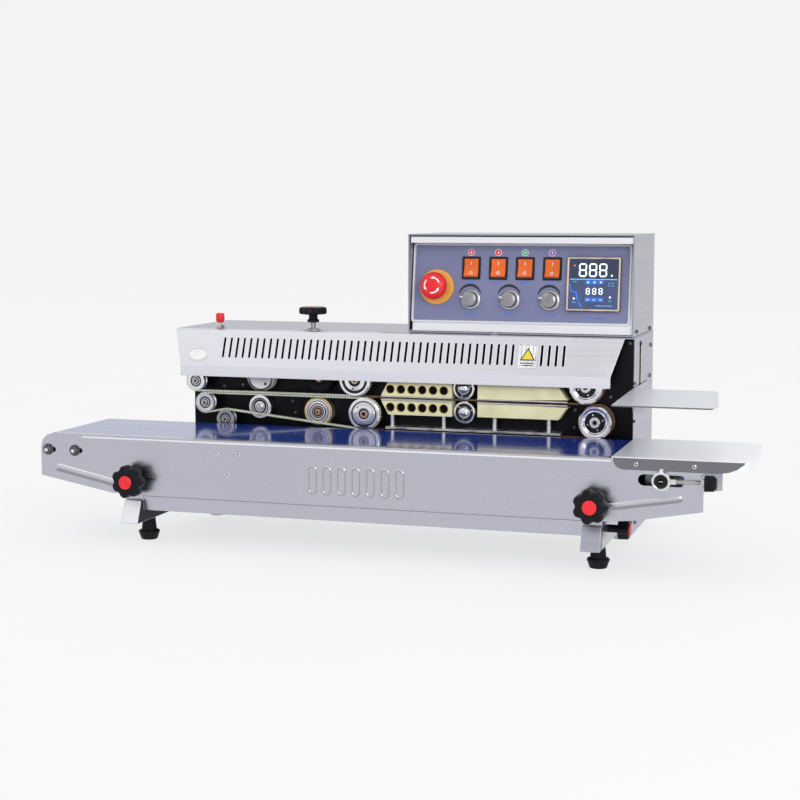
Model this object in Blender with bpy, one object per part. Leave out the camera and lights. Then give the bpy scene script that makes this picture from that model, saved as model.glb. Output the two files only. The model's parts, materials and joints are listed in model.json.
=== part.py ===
"""Continuous band sealer for bags, built as an assembly of separate parts.

A bag travels along +X towards -X on the conveyor, with its mouth held by the
guide belts and the sealing bands of the head behind it. All sizes are in
millimetres and are scaled to metres when a mesh is made. +X is to the right
of the operator, +Y points away from the operator and Z = 0 is the bench.
"""
import math

import bmesh
import bpy
from mathutils import Vector

MM = 0.001
GAP = 0.3                        # running clearance between neighbouring parts
SHEET = 2.0                      # stainless sheet thickness
ROUND = 24                       # facets round a wheel
FINE = 16                        # facets round a shaft, hole or small knob

# Conveyor
RAIL_LEFT, RAIL_RIGHT = -472.0, 419.0
RAIL_TOP, RAIL_BOTTOM = 146.0, 67.0
RAIL_FRONT = -175.0              # outer face of the front rail
REAR_RAIL_Y = -5.5               # inner face of the rear rail
REAR_RAIL_TOP = 142.0
REAR_RAIL_RIGHT = 423.0
FLANGE = 14.0                    # width of the front rail's top flange
BELT_FRONT, BELT_REAR = -160.0, -8.0
BELT_THICK = 1.3
BELT_TOP = 145.3
DRIVE_X, DRIVE_R = -455.0, 17.7
TENSION_X, TENSION_R = 369.0, 22.7
SLOT_HALF, SLOT_TALL = 29.0, 7.0  # take-up slot, half length and half height
TAKE_UP_Y = -179.5               # axis of the take-up screw
TABLE_LEFT, TABLE_RIGHT = 308.0, 474.3
TABLE_TOP = 148.3
TABLE_SKIRT = 12.0

# Conveyor stand and feet
LEG_LEFT, LEG_RIGHT = -334.0, 285.0
LEG_WIDTH = 24.0
LEG_BOTTOM, LEG_TOP = 31.0, 61.0
BEAM_BOTTOM, BEAM_TOP = 47.0, 66.0
FRONT_FOOT_Y = -131.0
CLAMP_Z = 88.0                   # clamp knob axis
CLAMP_LEFT, CLAMP_RIGHT = -334.0, 285.0

# Head
HEAD_LEFT, HEAD_RIGHT = -338.0, 299.0
PLATE_Y, PLATE_THICK = 32.0, 5.0
HEAD_BACK = 199.0
HEAD_BOTTOM, HEAD_TOP = 10.0, 275.0
COVER_LEFT = -359.0
COVER_FRONT = 26.0

# Band and belt train. The seal plane is where the two bands meet.
SEAL_Z = 188.0
BAND_THICK = 0.8
BAND_Y = (14.5, 29.5)
WHEEL_R = 22.0
GUIDE_THICK = 2.5
GUIDE_Y = (5.2, 13.2)
GUIDE_PULLEY_R = 20.3
IDLER_R = 12.5
WHEEL_FRONT, WHEEL_REAR = 4.0, 30.0
SHAFT_R, SHAFT_END = 5.0, 50.0
BORE_R = 5.5

BAND_OFFSET = GAP / 2 + BAND_THICK + GAP + WHEEL_R
GUIDE_OFFSET = GAP / 2 + GUIDE_THICK + GAP + IDLER_R
UPPER_Z, LOWER_Z = SEAL_Z + BAND_OFFSET, SEAL_Z - BAND_OFFSET
OUT_UPPER, OUT_LOWER = (-84.0, UPPER_Z), (-70.5, LOWER_Z)
IN_UPPER, IN_LOWER = (240.0, UPPER_Z), (253.0, LOWER_Z)
IDLER_UPPER = (-323.5, SEAL_Z + GUIDE_OFFSET)
IDLER_LOWER = (-309.5, SEAL_Z - GUIDE_OFFSET)
IDLER_TENSION = (-278.5, 150.0)
PRESS_R = 15.0
PRESS_OFFSET = GAP / 2 + BAND_THICK + GAP + PRESS_R
PRESS_UPPER = (71.5, SEAL_Z + PRESS_OFFSET)
PRESS_LOWER = (72.5, SEAL_Z - PRESS_OFFSET)
CODE_UPPER, CODE_UPPER_R = (-228.5, 210.5), 20.3
CODE_LOWER, CODE_LOWER_R = (-229.5, 168.5), 17.0
INK_UPPER, INK_UPPER_R = (-140.5, 211.5), 20.5
INK_LOWER, INK_LOWER_R = (-142.0, 164.0), 20.5

# Control box
BOX_LEFT, BOX_RIGHT = -13.0, 299.0
BOX_FRONT, BOX_BACK = 26.0, 197.0
BOX_BOTTOM, BOX_TOP = 278.0, 413.0
PANEL_TILT = math.radians(8.0)
PANEL_FOOT = (0.0, 30.0, 280.5)   # lower edge of the panel's outer face
PANEL_HEIGHT = 131.0
ROCKER_X = (73.0, 111.0, 148.2, 185.8)
ROCKER_S = 87.0                   # heights on the panel are measured along it
ROCKER_W, ROCKER_H = 20.0, 25.0
KNOB_X = (73.7, 128.5, 183.8)
KNOB_S = 44.0
STOP_X, STOP_S = 25.0, 60.5
METER_X, METER_S, METER_SIZE = 243.3, 66.5, 72.0

# Controls on the head's top
STAR_X, STAR_Y = -160.0, 44.0
PIN_X, PIN_Y = -301.0, 42.0

# Hinged front guard, as (Y, Z) points of its outer face from the hinge down
HINGE = (23.5, 275.5)
GUARD_BACK, GUARD_BEND = (25.0, 277.3), (17.6, 276.0)
GUARD_FOLD, GUARD_LIP = (-2.3, 226.5), (-2.3, 211.3)
GUARD_SHEET = 1.5
GUARD_TAPER = 15.0
GUARD_RIGHT = 289.0
SLOT_COUNT, SLOT_FIRST, SLOT_PITCH, SLOT_W = 50, -280.5, 10.0, 3.6


# ---------------------------------------------------------------- materials
def material(name, colour, roughness, metallic=0.0):
    """Return the named Principled material, making it the first time."""
    found = bpy.data.materials.get(name)
    if found:
        return found
    made = bpy.data.materials.new(name)
    made.use_nodes = True
    shader = made.node_tree.nodes["Principled BSDF"]
    shader.inputs["Base Color"].default_value = (*colour, 1.0)
    shader.inputs["Roughness"].default_value = roughness
    shader.inputs["Metallic"].default_value = metallic
    return made


def stainless():
    return material("stainless_sheet", (0.62, 0.62, 0.64), 0.35, 1.0)


def chrome():
    return material("chromed_steel", (0.80, 0.80, 0.82), 0.12, 1.0)


def black_paint():
    return material("black_painted_plate", (0.015, 0.015, 0.018), 0.45)


def black_plastic():
    return material("black_plastic", (0.02, 0.02, 0.022), 0.5)


def red_plastic():
    return material("red_plastic", (0.75, 0.04, 0.03), 0.35)


def cream_block():
    return material("cream_insulation", (0.86, 0.76, 0.42), 0.6)


def band_cloth():
    return material("coated_glass_band", (0.32, 0.14, 0.06), 0.5)


def guide_rubber():
    return material("guide_belt_rubber", (0.66, 0.67, 0.52), 0.6)


def conveyor_blue():
    return material("blue_conveyor_belt", (0.02, 0.05, 0.28), 0.18)


def foot_rubber():
    return material("foot_rubber", (0.02, 0.02, 0.02), 0.75)


# ------------------------------------------------------------ mesh building
def circle(radius, segments, centre=(0.0, 0.0)):
    """Points of a regular polygon standing for a circle."""
    return [(centre[0] + radius * math.cos(2 * math.pi * i / segments),
             centre[1] + radius * math.sin(2 * math.pi * i / segments))
            for i in range(segments)]


def placed(axis, a, b, along):
    """Put an outline point (a, b) at a height along the prism's axis."""
    if axis == "X":
        return Vector((along, a, b))
    if axis == "Y":
        return Vector((a, along, b))
    return Vector((a, b, along))


def add_prism(bm, outline, axis, low, high):
    """Add a closed prism: an outline pushed along an axis from low to high."""
    ends = [[bm.verts.new(placed(axis, a, b, height)) for a, b in outline]
            for height in (low, high)]
    count = len(outline)
    for end in ends:
        bm.faces.new(end)
    for i in range(count):
        j = (i + 1) % count
        bm.faces.new((ends[0][i], ends[0][j], ends[1][j], ends[1][i]))


def add_ring(bm, outer, inner, axis, low, high):
    """Add a closed loop such as a belt, between two outlines of equal count."""
    rings = [[bm.verts.new(placed(axis, a, b, height)) for a, b in outline]
             for outline, height in ((outer, low), (outer, high), (inner, high), (inner, low))]
    count = len(outer)
    for side in range(4):
        here, there = rings[side], rings[(side + 1) % 4]
        for i in range(count):
            j = (i + 1) % count
            bm.faces.new((here[i], here[j], there[j], there[i]))


def add_box(bm, x, y, z):
    """Add a box from three (low, high) pairs."""
    outline = [(x[0], y[0]), (x[1], y[0]), (x[1], y[1]), (x[0], y[1])]
    add_prism(bm, outline, "Z", z[0], z[1])


def add_lathe(bm, profile, segments=ROUND, axis="Y", centre=(0.0, 0.0)):
    """Turn a profile of (radius, height) points round an axis. Both ends are at radius 0."""
    rings = []
    for radius, height in profile:
        if radius == 0:
            rings.append([bm.verts.new(placed(axis, centre[0], centre[1], height))])
        else:
            rings.append([bm.verts.new(placed(axis, a, b, height))
                          for a, b in circle(radius, segments, centre)])
    for here, there in zip(rings, rings[1:]):
        for i in range(segments):
            j = (i + 1) % segments
            corners = (here[i % len(here)], here[j % len(here)],
                       there[j % len(there)], there[i % len(there)])
            bm.faces.new(dict.fromkeys(corners))


def add_rod(bm, radius, axis, low, high, centre=(0.0, 0.0), segments=FINE):
    """Add a plain round bar."""
    add_prism(bm, circle(radius, segments, centre), axis, low, high)


def finish_mesh(bm, name):
    """Turn a millimetre bmesh into a metre mesh with outward faces."""
    bmesh.ops.recalc_face_normals(bm, faces=bm.faces)
    bmesh.ops.scale(bm, vec=(MM, MM, MM), verts=bm.verts)
    mesh = bpy.data.meshes.new(name)
    bm.to_mesh(mesh)
    bm.free()
    return mesh


def make(name, build, paint, at=(0.0, 0.0, 0.0), parent=None, tilt=0.0, smooth=False):
    """Make one sub-part. build(bm) draws it in millimetres round its own origin."""
    bm = bmesh.new()
    build(bm)
    piece = bpy.data.objects.new(name, finish_mesh(bm, name))
    bpy.context.scene.collection.objects.link(piece)
    piece.data.materials.append(paint)
    piece.location = Vector(at) * MM
    piece.rotation_euler.x = tilt
    piece.parent = parent
    if smooth:
        piece.data.shade_smooth()
        piece.data.set_sharp_from_angle(angle=math.radians(35))
    return piece


def carve(piece, build, operation="DIFFERENCE"):
    """Cut from (or join to) a part the shape that build(bm) draws in the part's own space."""
    bm = bmesh.new()
    build(bm)
    label = f"{piece.name}_{operation.lower()}"
    tool = bpy.data.objects.new(label, finish_mesh(bm, label))
    bpy.context.scene.collection.objects.link(tool)
    tool.parent = piece
    tool.hide_render = True
    tool.display_type = "WIRE"
    step = piece.modifiers.new(operation.title(), "BOOLEAN")
    step.operation = operation
    step.solver = "EXACT"
    step.object = tool


# ----------------------------------------------------------- belts and bands
def tangent(start, end):
    """Straight run between two pulleys given as (centre, radius, turn)."""
    (c1, r1, s1), (c2, r2, s2) = start, end
    span = Vector(c2) - Vector(c1)
    along = span.normalized()
    left = Vector((-along.y, along.x))
    k = (s2 * r2 - s1 * r1) / span.length
    normal = along * k + left * math.sqrt(1 - k * k)
    return Vector(c1) - normal * (s1 * r1), Vector(c2) - normal * (s2 * r2)


def belt_loop(pulleys, offset, step=math.radians(15)):
    """Outline of a belt at an offset outside its pulleys; turn -1 is a back idler."""
    sized = [(centre, radius + turn * offset, turn) for centre, radius, turn in pulleys]
    runs = [tangent(a, b) for a, b in zip(sized, sized[1:] + sized[:1])]
    points = []
    for index, (centre, radius, turn) in enumerate(sized):
        arrive = runs[index - 1][1] - Vector(centre)
        leave = runs[index][0] - Vector(centre)
        first = math.atan2(arrive.y, arrive.x)
        sweep = (math.atan2(leave.y, leave.x) - first) * turn % (2 * math.pi)
        count = max(2, math.ceil(sweep / step))
        for i in range(count + 1):
            angle = first + turn * sweep * i / count
            points.append((centre[0] + radius * math.cos(angle),
                           centre[1] + radius * math.sin(angle)))
    return points


def add_belt(bm, pulleys, thickness, width):
    """Add a belt of a thickness and a (low, high) width in Y over its pulleys."""
    centre_line = GAP + thickness / 2
    backed = [(c, r + (1 - t) * centre_line, t) for c, r, t in pulleys]
    inner = belt_loop(backed, GAP)
    outer = belt_loop(backed, GAP + thickness)
    add_ring(bm, outer, inner, "Y", *width)


# ------------------------------------------------------------------ conveyor
def rail_outline():
    """Side shape of a conveyor rail: cut-up ends and one rounded top corner."""
    corner = 19.0
    top = [(RAIL_LEFT + corner * (1 - math.sin(a)), RAIL_TOP - corner * (1 - math.cos(a)))
           for a in (math.radians(d) for d in (0, 30, 60, 90))]
    return top + [(RAIL_LEFT, 88.0), (-366.0, 68.5), (-323.0, RAIL_BOTTOM), (300.0, RAIL_BOTTOM),
                  (335.0, 70.0), (RAIL_RIGHT, 85.0), (RAIL_RIGHT, RAIL_TOP)]


def slot_outline():
    """Take-up slot with rounded ends."""
    half = SLOT_HALF - SLOT_TALL
    right = [(TENSION_X + half + SLOT_TALL * math.cos(a), tension_z() + SLOT_TALL * math.sin(a))
             for a in (math.radians(d) for d in range(-90, 91, 30))]
    return right + [(2 * TENSION_X - x, 2 * tension_z() - z) for x, z in right]


def tension_z():
    return BELT_TOP - BELT_THICK - GAP - TENSION_R


def drive_z():
    return BELT_TOP - BELT_THICK - GAP - DRIVE_R


def front_rail():
    def body(bm):
        add_prism(bm, rail_outline(), "Y", RAIL_FRONT, RAIL_FRONT + SHEET)

    def flanges(bm):
        inner = RAIL_FRONT + FLANGE
        add_box(bm, (RAIL_LEFT + 20, 304), (RAIL_FRONT + 1, inner), (RAIL_TOP - SHEET, RAIL_TOP))
        add_box(bm, (-318, 268), (RAIL_FRONT + 1, inner), (RAIL_BOTTOM, RAIL_BOTTOM + SHEET))
        add_box(bm, (RAIL_RIGHT - SHEET, RAIL_RIGHT), (RAIL_FRONT - 12, RAIL_FRONT + 1),
                (tension_z() - 9, tension_z() + 9))

    def holes(bm):
        add_prism(bm, slot_outline(), "Y", RAIL_FRONT - 1, RAIL_FRONT + SHEET + 1)
        add_rod(bm, 3.0, "X", RAIL_RIGHT - 4, RAIL_RIGHT + 2, (TAKE_UP_Y, tension_z()))
        for x in (CLAMP_LEFT, CLAMP_RIGHT):
            add_rod(bm, 4.5, "Y", RAIL_FRONT - 1, RAIL_FRONT + SHEET + 1, (x, CLAMP_Z))

    rail = make("conveyor_front_rail", body, stainless())
    carve(rail, flanges, "UNION")
    carve(rail, holes)


def rear_rail():
    def body(bm):
        outline = [(-453.0, REAR_RAIL_TOP), (RAIL_LEFT, 124.0), (RAIL_LEFT, 88.0), (-366.0, 68.5),
                   (-323.0, RAIL_BOTTOM), (300.0, RAIL_BOTTOM), (335.0, 70.0),
                   (REAR_RAIL_RIGHT, 84.0), (REAR_RAIL_RIGHT, 112.0 + SLOT_HALF), (415.0, REAR_RAIL_TOP)]
        add_prism(bm, outline, "Y", REAR_RAIL_Y, REAR_RAIL_Y + SHEET)

    def slot(bm):
        add_prism(bm, slot_outline(), "Y", REAR_RAIL_Y - 1, REAR_RAIL_Y + SHEET + 1)

    rail = make("conveyor_rear_rail", body, stainless())
    carve(rail, slot)


def conveyor_deck():
    """Slider bed under the belt, and the belt itself."""
    inner_top = BELT_TOP - BELT_THICK - GAP

    def bed(bm):
        add_box(bm, (-432, 340), (RAIL_FRONT + SHEET + GAP, REAR_RAIL_Y - GAP),
                (inner_top - SHEET, inner_top))

    def belt(bm):
        pulleys = [((TENSION_X, tension_z()), TENSION_R, 1), ((DRIVE_X, drive_z()), DRIVE_R, 1)]
        add_belt(bm, pulleys, BELT_THICK, (BELT_FRONT, BELT_REAR))

    make("slider_bed", bed, stainless())
    make("conveyor_belt", belt, conveyor_blue(), smooth=True)


def rollers():
    front, rear = BELT_FRONT + 2, BELT_REAR - 2

    def drive(bm):
        ends = (RAIL_FRONT + SHEET + GAP, REAR_RAIL_Y - GAP)
        add_lathe(bm, [(0, ends[0]), (6, ends[0]), (6, front), (DRIVE_R, front),
                       (DRIVE_R, rear), (6, rear), (6, ends[1]), (0, ends[1])])

    def tension(bm):
        ends = (RAIL_FRONT - 7, REAR_RAIL_Y + SHEET + 3)
        add_lathe(bm, [(0, ends[0]), (5, ends[0]), (5, front), (TENSION_R, front),
                       (TENSION_R, rear), (5, rear), (5, ends[1]), (0, ends[1])])

    make("drive_roller", drive, chrome(), at=(DRIVE_X, 0, drive_z()), smooth=True)
    make("tension_roller", tension, chrome(), at=(TENSION_X, 0, tension_z()), smooth=True)


def take_up():
    """Bearing block in the rail's slot, and the screw that pulls it."""
    face = RAIL_FRONT - GAP

    def block(bm):
        add_rod(bm, 11.5, "Y", face - 8.5, face, segments=ROUND)

    def key(bm):
        add_box(bm, (-10, 10), (face - 2, RAIL_FRONT + SHEET + 2), (-6.5, 6.5))

    def boss(bm):
        add_box(bm, (8, 21), (TAKE_UP_Y - 3.6, face - 1), (-4.2, 4.2))

    def bores(bm):
        add_rod(bm, 5.5, "Y", face - 12, RAIL_FRONT + SHEET + 6)
        add_rod(bm, 2.8, "X", 9, 24, (TAKE_UP_Y, 0))

    piece = make("take_up_block", block, chrome(), at=(TENSION_X, 0, tension_z()))
    carve(piece, key, "UNION")
    carve(piece, boss, "UNION")
    carve(piece, bores)

    def screw(bm):
        knob = RAIL_RIGHT - TENSION_X
        add_lathe(bm, [(0, 10), (2.4, 10), (2.4, knob + 1), (5.5, knob + 1), (5.5, knob + 4),
                       (9.6, knob + 4), (9.6, knob + 15), (8.0, knob + 17), (0, knob + 17)],
                  segments=FINE, axis="X")

    make("take_up_screw", screw, black_plastic(), at=(TENSION_X, TAKE_UP_Y, tension_z()), smooth=True)


def table_outline(grow=0.0):
    """Infeed table seen from above, with rounded corners at its free end."""
    front, back = RAIL_FRONT - GAP - SHEET - grow, -7.0 + grow
    right = TABLE_RIGHT + grow
    points = [(TABLE_LEFT, back), (TABLE_LEFT, front)]
    for radius, centre, start in ((14.0, (right - 14.0, front + 14.0), -90),
                                  (22.0, (right - 22.0, back - 22.0), 0)):
        points += [(centre[0] + radius * math.cos(math.radians(start + d)),
                    centre[1] + radius * math.sin(math.radians(start + d)))
                   for d in (0, 22.5, 45, 67.5, 90)]
    return points


def infeed_table():
    def body(bm):
        add_prism(bm, table_outline(), "Z", TABLE_TOP - TABLE_SKIRT, TABLE_TOP)

    def pocket(bm):
        inside = [(x, min(y, -7.0 - SHEET)) for x, y in table_outline(-SHEET)]
        inside[0] = (TABLE_LEFT - 5, inside[0][1] + 30)
        inside[1] = (TABLE_LEFT - 5, inside[1][1])
        inside[-1] = (inside[-1][0], inside[-1][1] + 30)
        add_prism(bm, inside, "Z", TABLE_TOP - TABLE_SKIRT - 5, TABLE_TOP - SHEET)

    def nose(bm):
        low, front = TABLE_TOP - TABLE_SKIRT, RAIL_FRONT - 5
        add_prism(bm, [(TABLE_LEFT - 3, TABLE_TOP - 1.0), (TABLE_LEFT - 3, low - 1),
                       (TABLE_LEFT + 13, low - 1)], "Y", front, RAIL_FRONT + 1)

    table = make("infeed_table", body, stainless())
    carve(table, pocket)
    carve(table, nose)


def conveyor_motor():
    """Small gearmotor between the belt's two runs, bolted to the front rail."""
    def body(bm):
        start = RAIL_FRONT + SHEET + GAP
        add_lathe(bm, [(0, start), (17, start), (17, start + 14), (14, start + 14),
                       (14, start + 92), (0, start + 92)], axis="Y", centre=(-197.0, 122.0))

    make("conveyor_gearmotor", body, black_plastic(), smooth=True)


# -------------------------------------------------------------- stand, feet
def stand():
    """Two legs and a cross beam welded into one frame, bolted to the head's base plate."""
    front, back = RAIL_FRONT - 3, PLATE_Y - GAP

    def leg(bm, x):
        side = [(front, LEG_TOP), (front - 12, LEG_BOTTOM), (back, LEG_BOTTOM), (back, LEG_TOP)]
        add_prism(bm, side, "X", x - LEG_WIDTH / 2, x + LEG_WIDTH / 2)

    def hollow(bm):
        for x in (LEG_LEFT, LEG_RIGHT):
            side = [(front + 2, LEG_TOP - SHEET), (front - 11, LEG_BOTTOM - 2),
                    (back - SHEET, LEG_BOTTOM - 2), (back - SHEET, LEG_TOP - SHEET)]
            add_prism(bm, side, "X", x - LEG_WIDTH / 2 + SHEET, x + LEG_WIDTH / 2 - SHEET)

    def right_leg(bm):
        leg(bm, LEG_RIGHT)

    def beam(bm):
        add_box(bm, (LEG_LEFT + LEG_WIDTH / 2 - 1, LEG_RIGHT - LEG_WIDTH / 2 + 1),
                (RAIL_FRONT + 4, RAIL_FRONT + 44), (BEAM_BOTTOM, BEAM_TOP))

    def beam_hollow(bm):
        add_box(bm, (LEG_LEFT + LEG_WIDTH / 2, LEG_RIGHT - LEG_WIDTH / 2),
                (RAIL_FRONT + 4 + SHEET, RAIL_FRONT + 60), (BEAM_BOTTOM - 5, BEAM_TOP - SHEET))

    def uprights(bm):
        for x in (LEG_LEFT, LEG_RIGHT):
            across = (x - LEG_WIDTH / 2, x + LEG_WIDTH / 2)
            add_box(bm, across, (RAIL_FRONT + SHEET + GAP, RAIL_FRONT + 2 * SHEET + GAP + 1), (60, 122))
            add_box(bm, across, (REAR_RAIL_Y - GAP - 1.8, REAR_RAIL_Y - GAP), (60, 116))

    def slots(bm):
        for x in (LEG_LEFT, LEG_RIGHT):
            add_box(bm, (x - 4.5, x + 4.5), (RAIL_FRONT, RAIL_FRONT + 10), (CLAMP_Z - 6, CLAMP_Z + 26))

    frame = make("conveyor_stand", lambda bm: leg(bm, LEG_LEFT), stainless())
    carve(frame, right_leg, "UNION")
    carve(frame, hollow)
    carve(frame, beam, "UNION")
    carve(frame, beam_hollow)
    carve(frame, uprights, "UNION")
    carve(frame, slots)


def feet():
    profile = [(0, 0), (9.9, 0), (13.5, 11), (14.7, 19), (12.2, 20.5), (9.4, 30), (9.4, LEG_TOP - SHEET - GAP),
               (0, LEG_TOP - SHEET - GAP)]
    for side, x in (("left", LEG_LEFT), ("right", LEG_RIGHT)):
        make(f"foot_{side}", lambda bm: add_lathe(bm, profile, FINE, "Z"), foot_rubber(),
             at=(x, FRONT_FOOT_Y, 0), smooth=True)


def star_outline(radius, lobes=7, depth=0.16):
    """Lobed outline of a hand knob."""
    count = lobes * 4
    return [((radius - depth * radius * (1 - math.cos(lobes * a)) / 2) * math.cos(a),
             (radius - depth * radius * (1 - math.cos(lobes * a)) / 2) * math.sin(a))
            for a in (2 * math.pi * i / count for i in range(count))]


def clamp_knobs():
    """Hand knobs that clamp the conveyor at its height on the stand."""
    back = RAIL_FRONT - GAP

    def head(bm):
        add_prism(bm, star_outline(22.0), "Y", back - 27, back - 8)

    def stem(bm):
        add_lathe(bm, [(0, back - 9), (11, back - 9), (11, back), (3.8, back),
                       (3.8, RAIL_FRONT + 12), (0, RAIL_FRONT + 12)], FINE)

    for side, x in (("left", CLAMP_LEFT), ("right", CLAMP_RIGHT)):
        knob = make(f"clamp_knob_{side}", head, black_plastic(), at=(x, 0, CLAMP_Z))
        carve(knob, stem, "UNION")


# ---------------------------------------------------------------------- head
def shaft_centres():
    return (OUT_UPPER, OUT_LOWER, IN_UPPER, IN_LOWER, PRESS_UPPER, PRESS_LOWER, IDLER_UPPER,
            IDLER_LOWER, IDLER_TENSION, CODE_UPPER, CODE_LOWER, INK_UPPER, INK_LOWER)


def base_plate():
    def body(bm):
        add_box(bm, (HEAD_LEFT, HEAD_RIGHT), (PLATE_Y, PLATE_Y + PLATE_THICK), (20, HEAD_TOP))

    def bores(bm):
        for centre in shaft_centres():
            add_rod(bm, BORE_R, "Y", PLATE_Y - 1, PLATE_Y + PLATE_THICK + 1, centre)

    plate = make("base_plate", body, black_paint())
    carve(plate, bores)


def housing():
    """Stainless shell behind the base plate: floor, two sides and back, on four rubber feet."""
    front = PLATE_Y + PLATE_THICK + GAP

    def body(bm):
        add_box(bm, (HEAD_LEFT, HEAD_RIGHT), (front, HEAD_BACK), (HEAD_BOTTOM, HEAD_TOP))

    def hollow(bm):
        add_box(bm, (HEAD_LEFT + SHEET, HEAD_RIGHT - SHEET), (front - 5, HEAD_BACK - SHEET),
                (HEAD_BOTTOM + SHEET, HEAD_TOP + 5))

    def pads(bm):
        for x in (HEAD_LEFT + 20, HEAD_RIGHT - 20):
            for y in (front + 25, HEAD_BACK - 25):
                add_lathe(bm, [(0, 0), (10, 0), (13, HEAD_BOTTOM + 1), (0, HEAD_BOTTOM + 1)],
                          FINE, "Z", (x, y))

    def openings(bm):
        add_rod(bm, 38, "Y", HEAD_BACK - 6, HEAD_BACK + 4, (180, 130), segments=ROUND)
        add_box(bm, (-254, -226), (HEAD_BACK - 6, HEAD_BACK + 4), (50, 70))

    shell = make("housing", body, stainless())
    carve(shell, hollow)
    carve(shell, pads, "UNION")
    carve(shell, openings)


def top_plate():
    low = HEAD_TOP + GAP

    def body(bm):
        add_box(bm, (COVER_LEFT, HEAD_RIGHT), (COVER_FRONT, HEAD_BACK), (low, low + SHEET))

    def holes(bm):
        add_rod(bm, 5.0, "Z", low - 2, low + 6, (STAR_X, STAR_Y))
        add_rod(bm, 3.0, "Z", low - 2, low + 6, (PIN_X, PIN_Y))

    plate = make("top_plate", body, stainless())
    carve(plate, holes)


def guard():
    """Slotted front guard, hinged along its top edge."""
    hy, hz = HINGE

    def profile():
        """Closed (Y, Z) section of the folded sheet, its outer face first."""
        lean = math.atan2(GUARD_BEND[0] - GUARD_FOLD[0], GUARD_BEND[1] - GUARD_FOLD[1])
        inset = GUARD_SHEET / math.cos(lean)
        down = GUARD_SHEET * math.tan(lean / 2)
        return [GUARD_BACK, GUARD_BEND, GUARD_FOLD, GUARD_LIP,
                (GUARD_LIP[0] + GUARD_SHEET, GUARD_LIP[1]),
                (GUARD_FOLD[0] + GUARD_SHEET, GUARD_FOLD[1] - down),
                (GUARD_BEND[0] + inset, GUARD_BEND[1] - GUARD_SHEET),
                (GUARD_BACK[0], GUARD_BACK[1] - GUARD_SHEET)]

    def body(bm):
        section = profile()
        height = GUARD_BEND[1] - GUARD_FOLD[1]
        ends = []
        for sign, edge in ((-1, COVER_LEFT), (1, GUARD_RIGHT)):
            ring = []
            for y, z in section:
                cut = GUARD_TAPER * min(1.0, max(0.0, (GUARD_BEND[1] - z) / height))
                ring.append(bm.verts.new((edge - sign * cut, y - hy, z - hz)))
            ends.append(ring)
            bm.faces.new(ring)
        for i in range(len(section)):
            j = (i + 1) % len(section)
            bm.faces.new((ends[0][i], ends[0][j], ends[1][j], ends[1][i]))

    def slots(bm):
        for i in range(SLOT_COUNT):
            x = SLOT_FIRST + i * SLOT_PITCH
            add_box(bm, (x - SLOT_W / 2, x + SLOT_W / 2), (-45, 0), (238 - hz, 266 - hz))

    cover = make("front_guard", body, stainless(), at=(0, hy, hz))
    carve(cover, slots)


def blocks():
    """Heating and cooling blocks above and below the seal plane, with their carriers."""
    clear = GAP / 2 + BAND_THICK + GAP
    depth = (8.0, 29.5)
    hole_pitch, hole_r = 15.3, 6.0

    def mirrored(z, up):
        return SEAL_Z + z if up else SEAL_Z - z

    def heating(bm, up):
        outline = [(91, clear), (216, clear + 4), (213, clear + 6), (203, 22), (91, 22)]
        add_prism(bm, [(x, mirrored(z, up)) for x, z in outline], "Y", *depth)

    def cooling(bm, up):
        outline = [(-46, clear), (55, clear), (55, 23), (-36, 23), (-46, 5)]
        add_prism(bm, [(x, mirrored(z, up)) for x, z in outline], "Y", *depth)

    def holes(bm, up):
        for i in range(6):
            centre = (-33 + i * hole_pitch, mirrored(12.5, up))
            add_rod(bm, hole_r, "Y", depth[0] - 2, depth[1] + 2, centre)

    for side, up in (("upper", True), ("lower", False)):
        make(f"heating_block_{side}", lambda bm: heating(bm, up), cream_block())
        cooler = make(f"cooling_block_{side}", lambda bm: cooling(bm, up), cream_block())
        carve(cooler, lambda bm: holes(bm, up))

    def carrier(bm, z):
        add_box(bm, (-40, 206), (8, PLATE_Y - GAP), z)

    def posts(bm, z):
        for x in (-33, 41, 113, 188):
            add_rod(bm, 3.0, "Z", z[0], z[1], (x, 18), segments=12)

    lower = make("block_support", lambda bm: carrier(bm, (145, 148)), black_paint())
    carve(lower, lambda bm: posts(bm, (147, SEAL_Z - 23 - GAP)), "UNION")
    upper = make("block_hanger", lambda bm: carrier(bm, (226, 229)), black_paint())
    carve(upper, lambda bm: posts(bm, (SEAL_Z + 23 + GAP, 227)), "UNION")


def bands_and_belts():
    def upper_band(bm):
        add_belt(bm, [(IN_UPPER, WHEEL_R, 1), (OUT_UPPER, WHEEL_R, 1)], BAND_THICK, BAND_Y)

    def lower_band(bm):
        add_belt(bm, [(IN_LOWER, WHEEL_R, 1), (OUT_LOWER, WHEEL_R, 1)], BAND_THICK, BAND_Y)

    def upper_guide(bm):
        add_belt(bm, [(OUT_UPPER, GUIDE_PULLEY_R, 1), (IDLER_UPPER, IDLER_R, 1)], GUIDE_THICK, GUIDE_Y)

    def lower_guide(bm):
        pulleys = [(OUT_LOWER, GUIDE_PULLEY_R, 1), (IDLER_LOWER, IDLER_R, 1),
                   (IDLER_TENSION, IDLER_R, -1)]
        add_belt(bm, pulleys, GUIDE_THICK, GUIDE_Y)

    make("seal_band_upper", upper_band, band_cloth(), smooth=True)
    make("seal_band_lower", lower_band, band_cloth(), smooth=True)
    make("guide_belt_upper", upper_guide, guide_rubber(), smooth=True)
    make("guide_belt_lower", lower_guide, guide_rubber(), smooth=True)


def shafted(steps):
    """Close a wheel's profile with its shaft, which runs through the base plate."""
    rear = steps[-1][1]
    return [(0, steps[0][1])] + steps + [(SHAFT_R, rear), (SHAFT_R, SHAFT_END), (0, SHAFT_END)]


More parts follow.
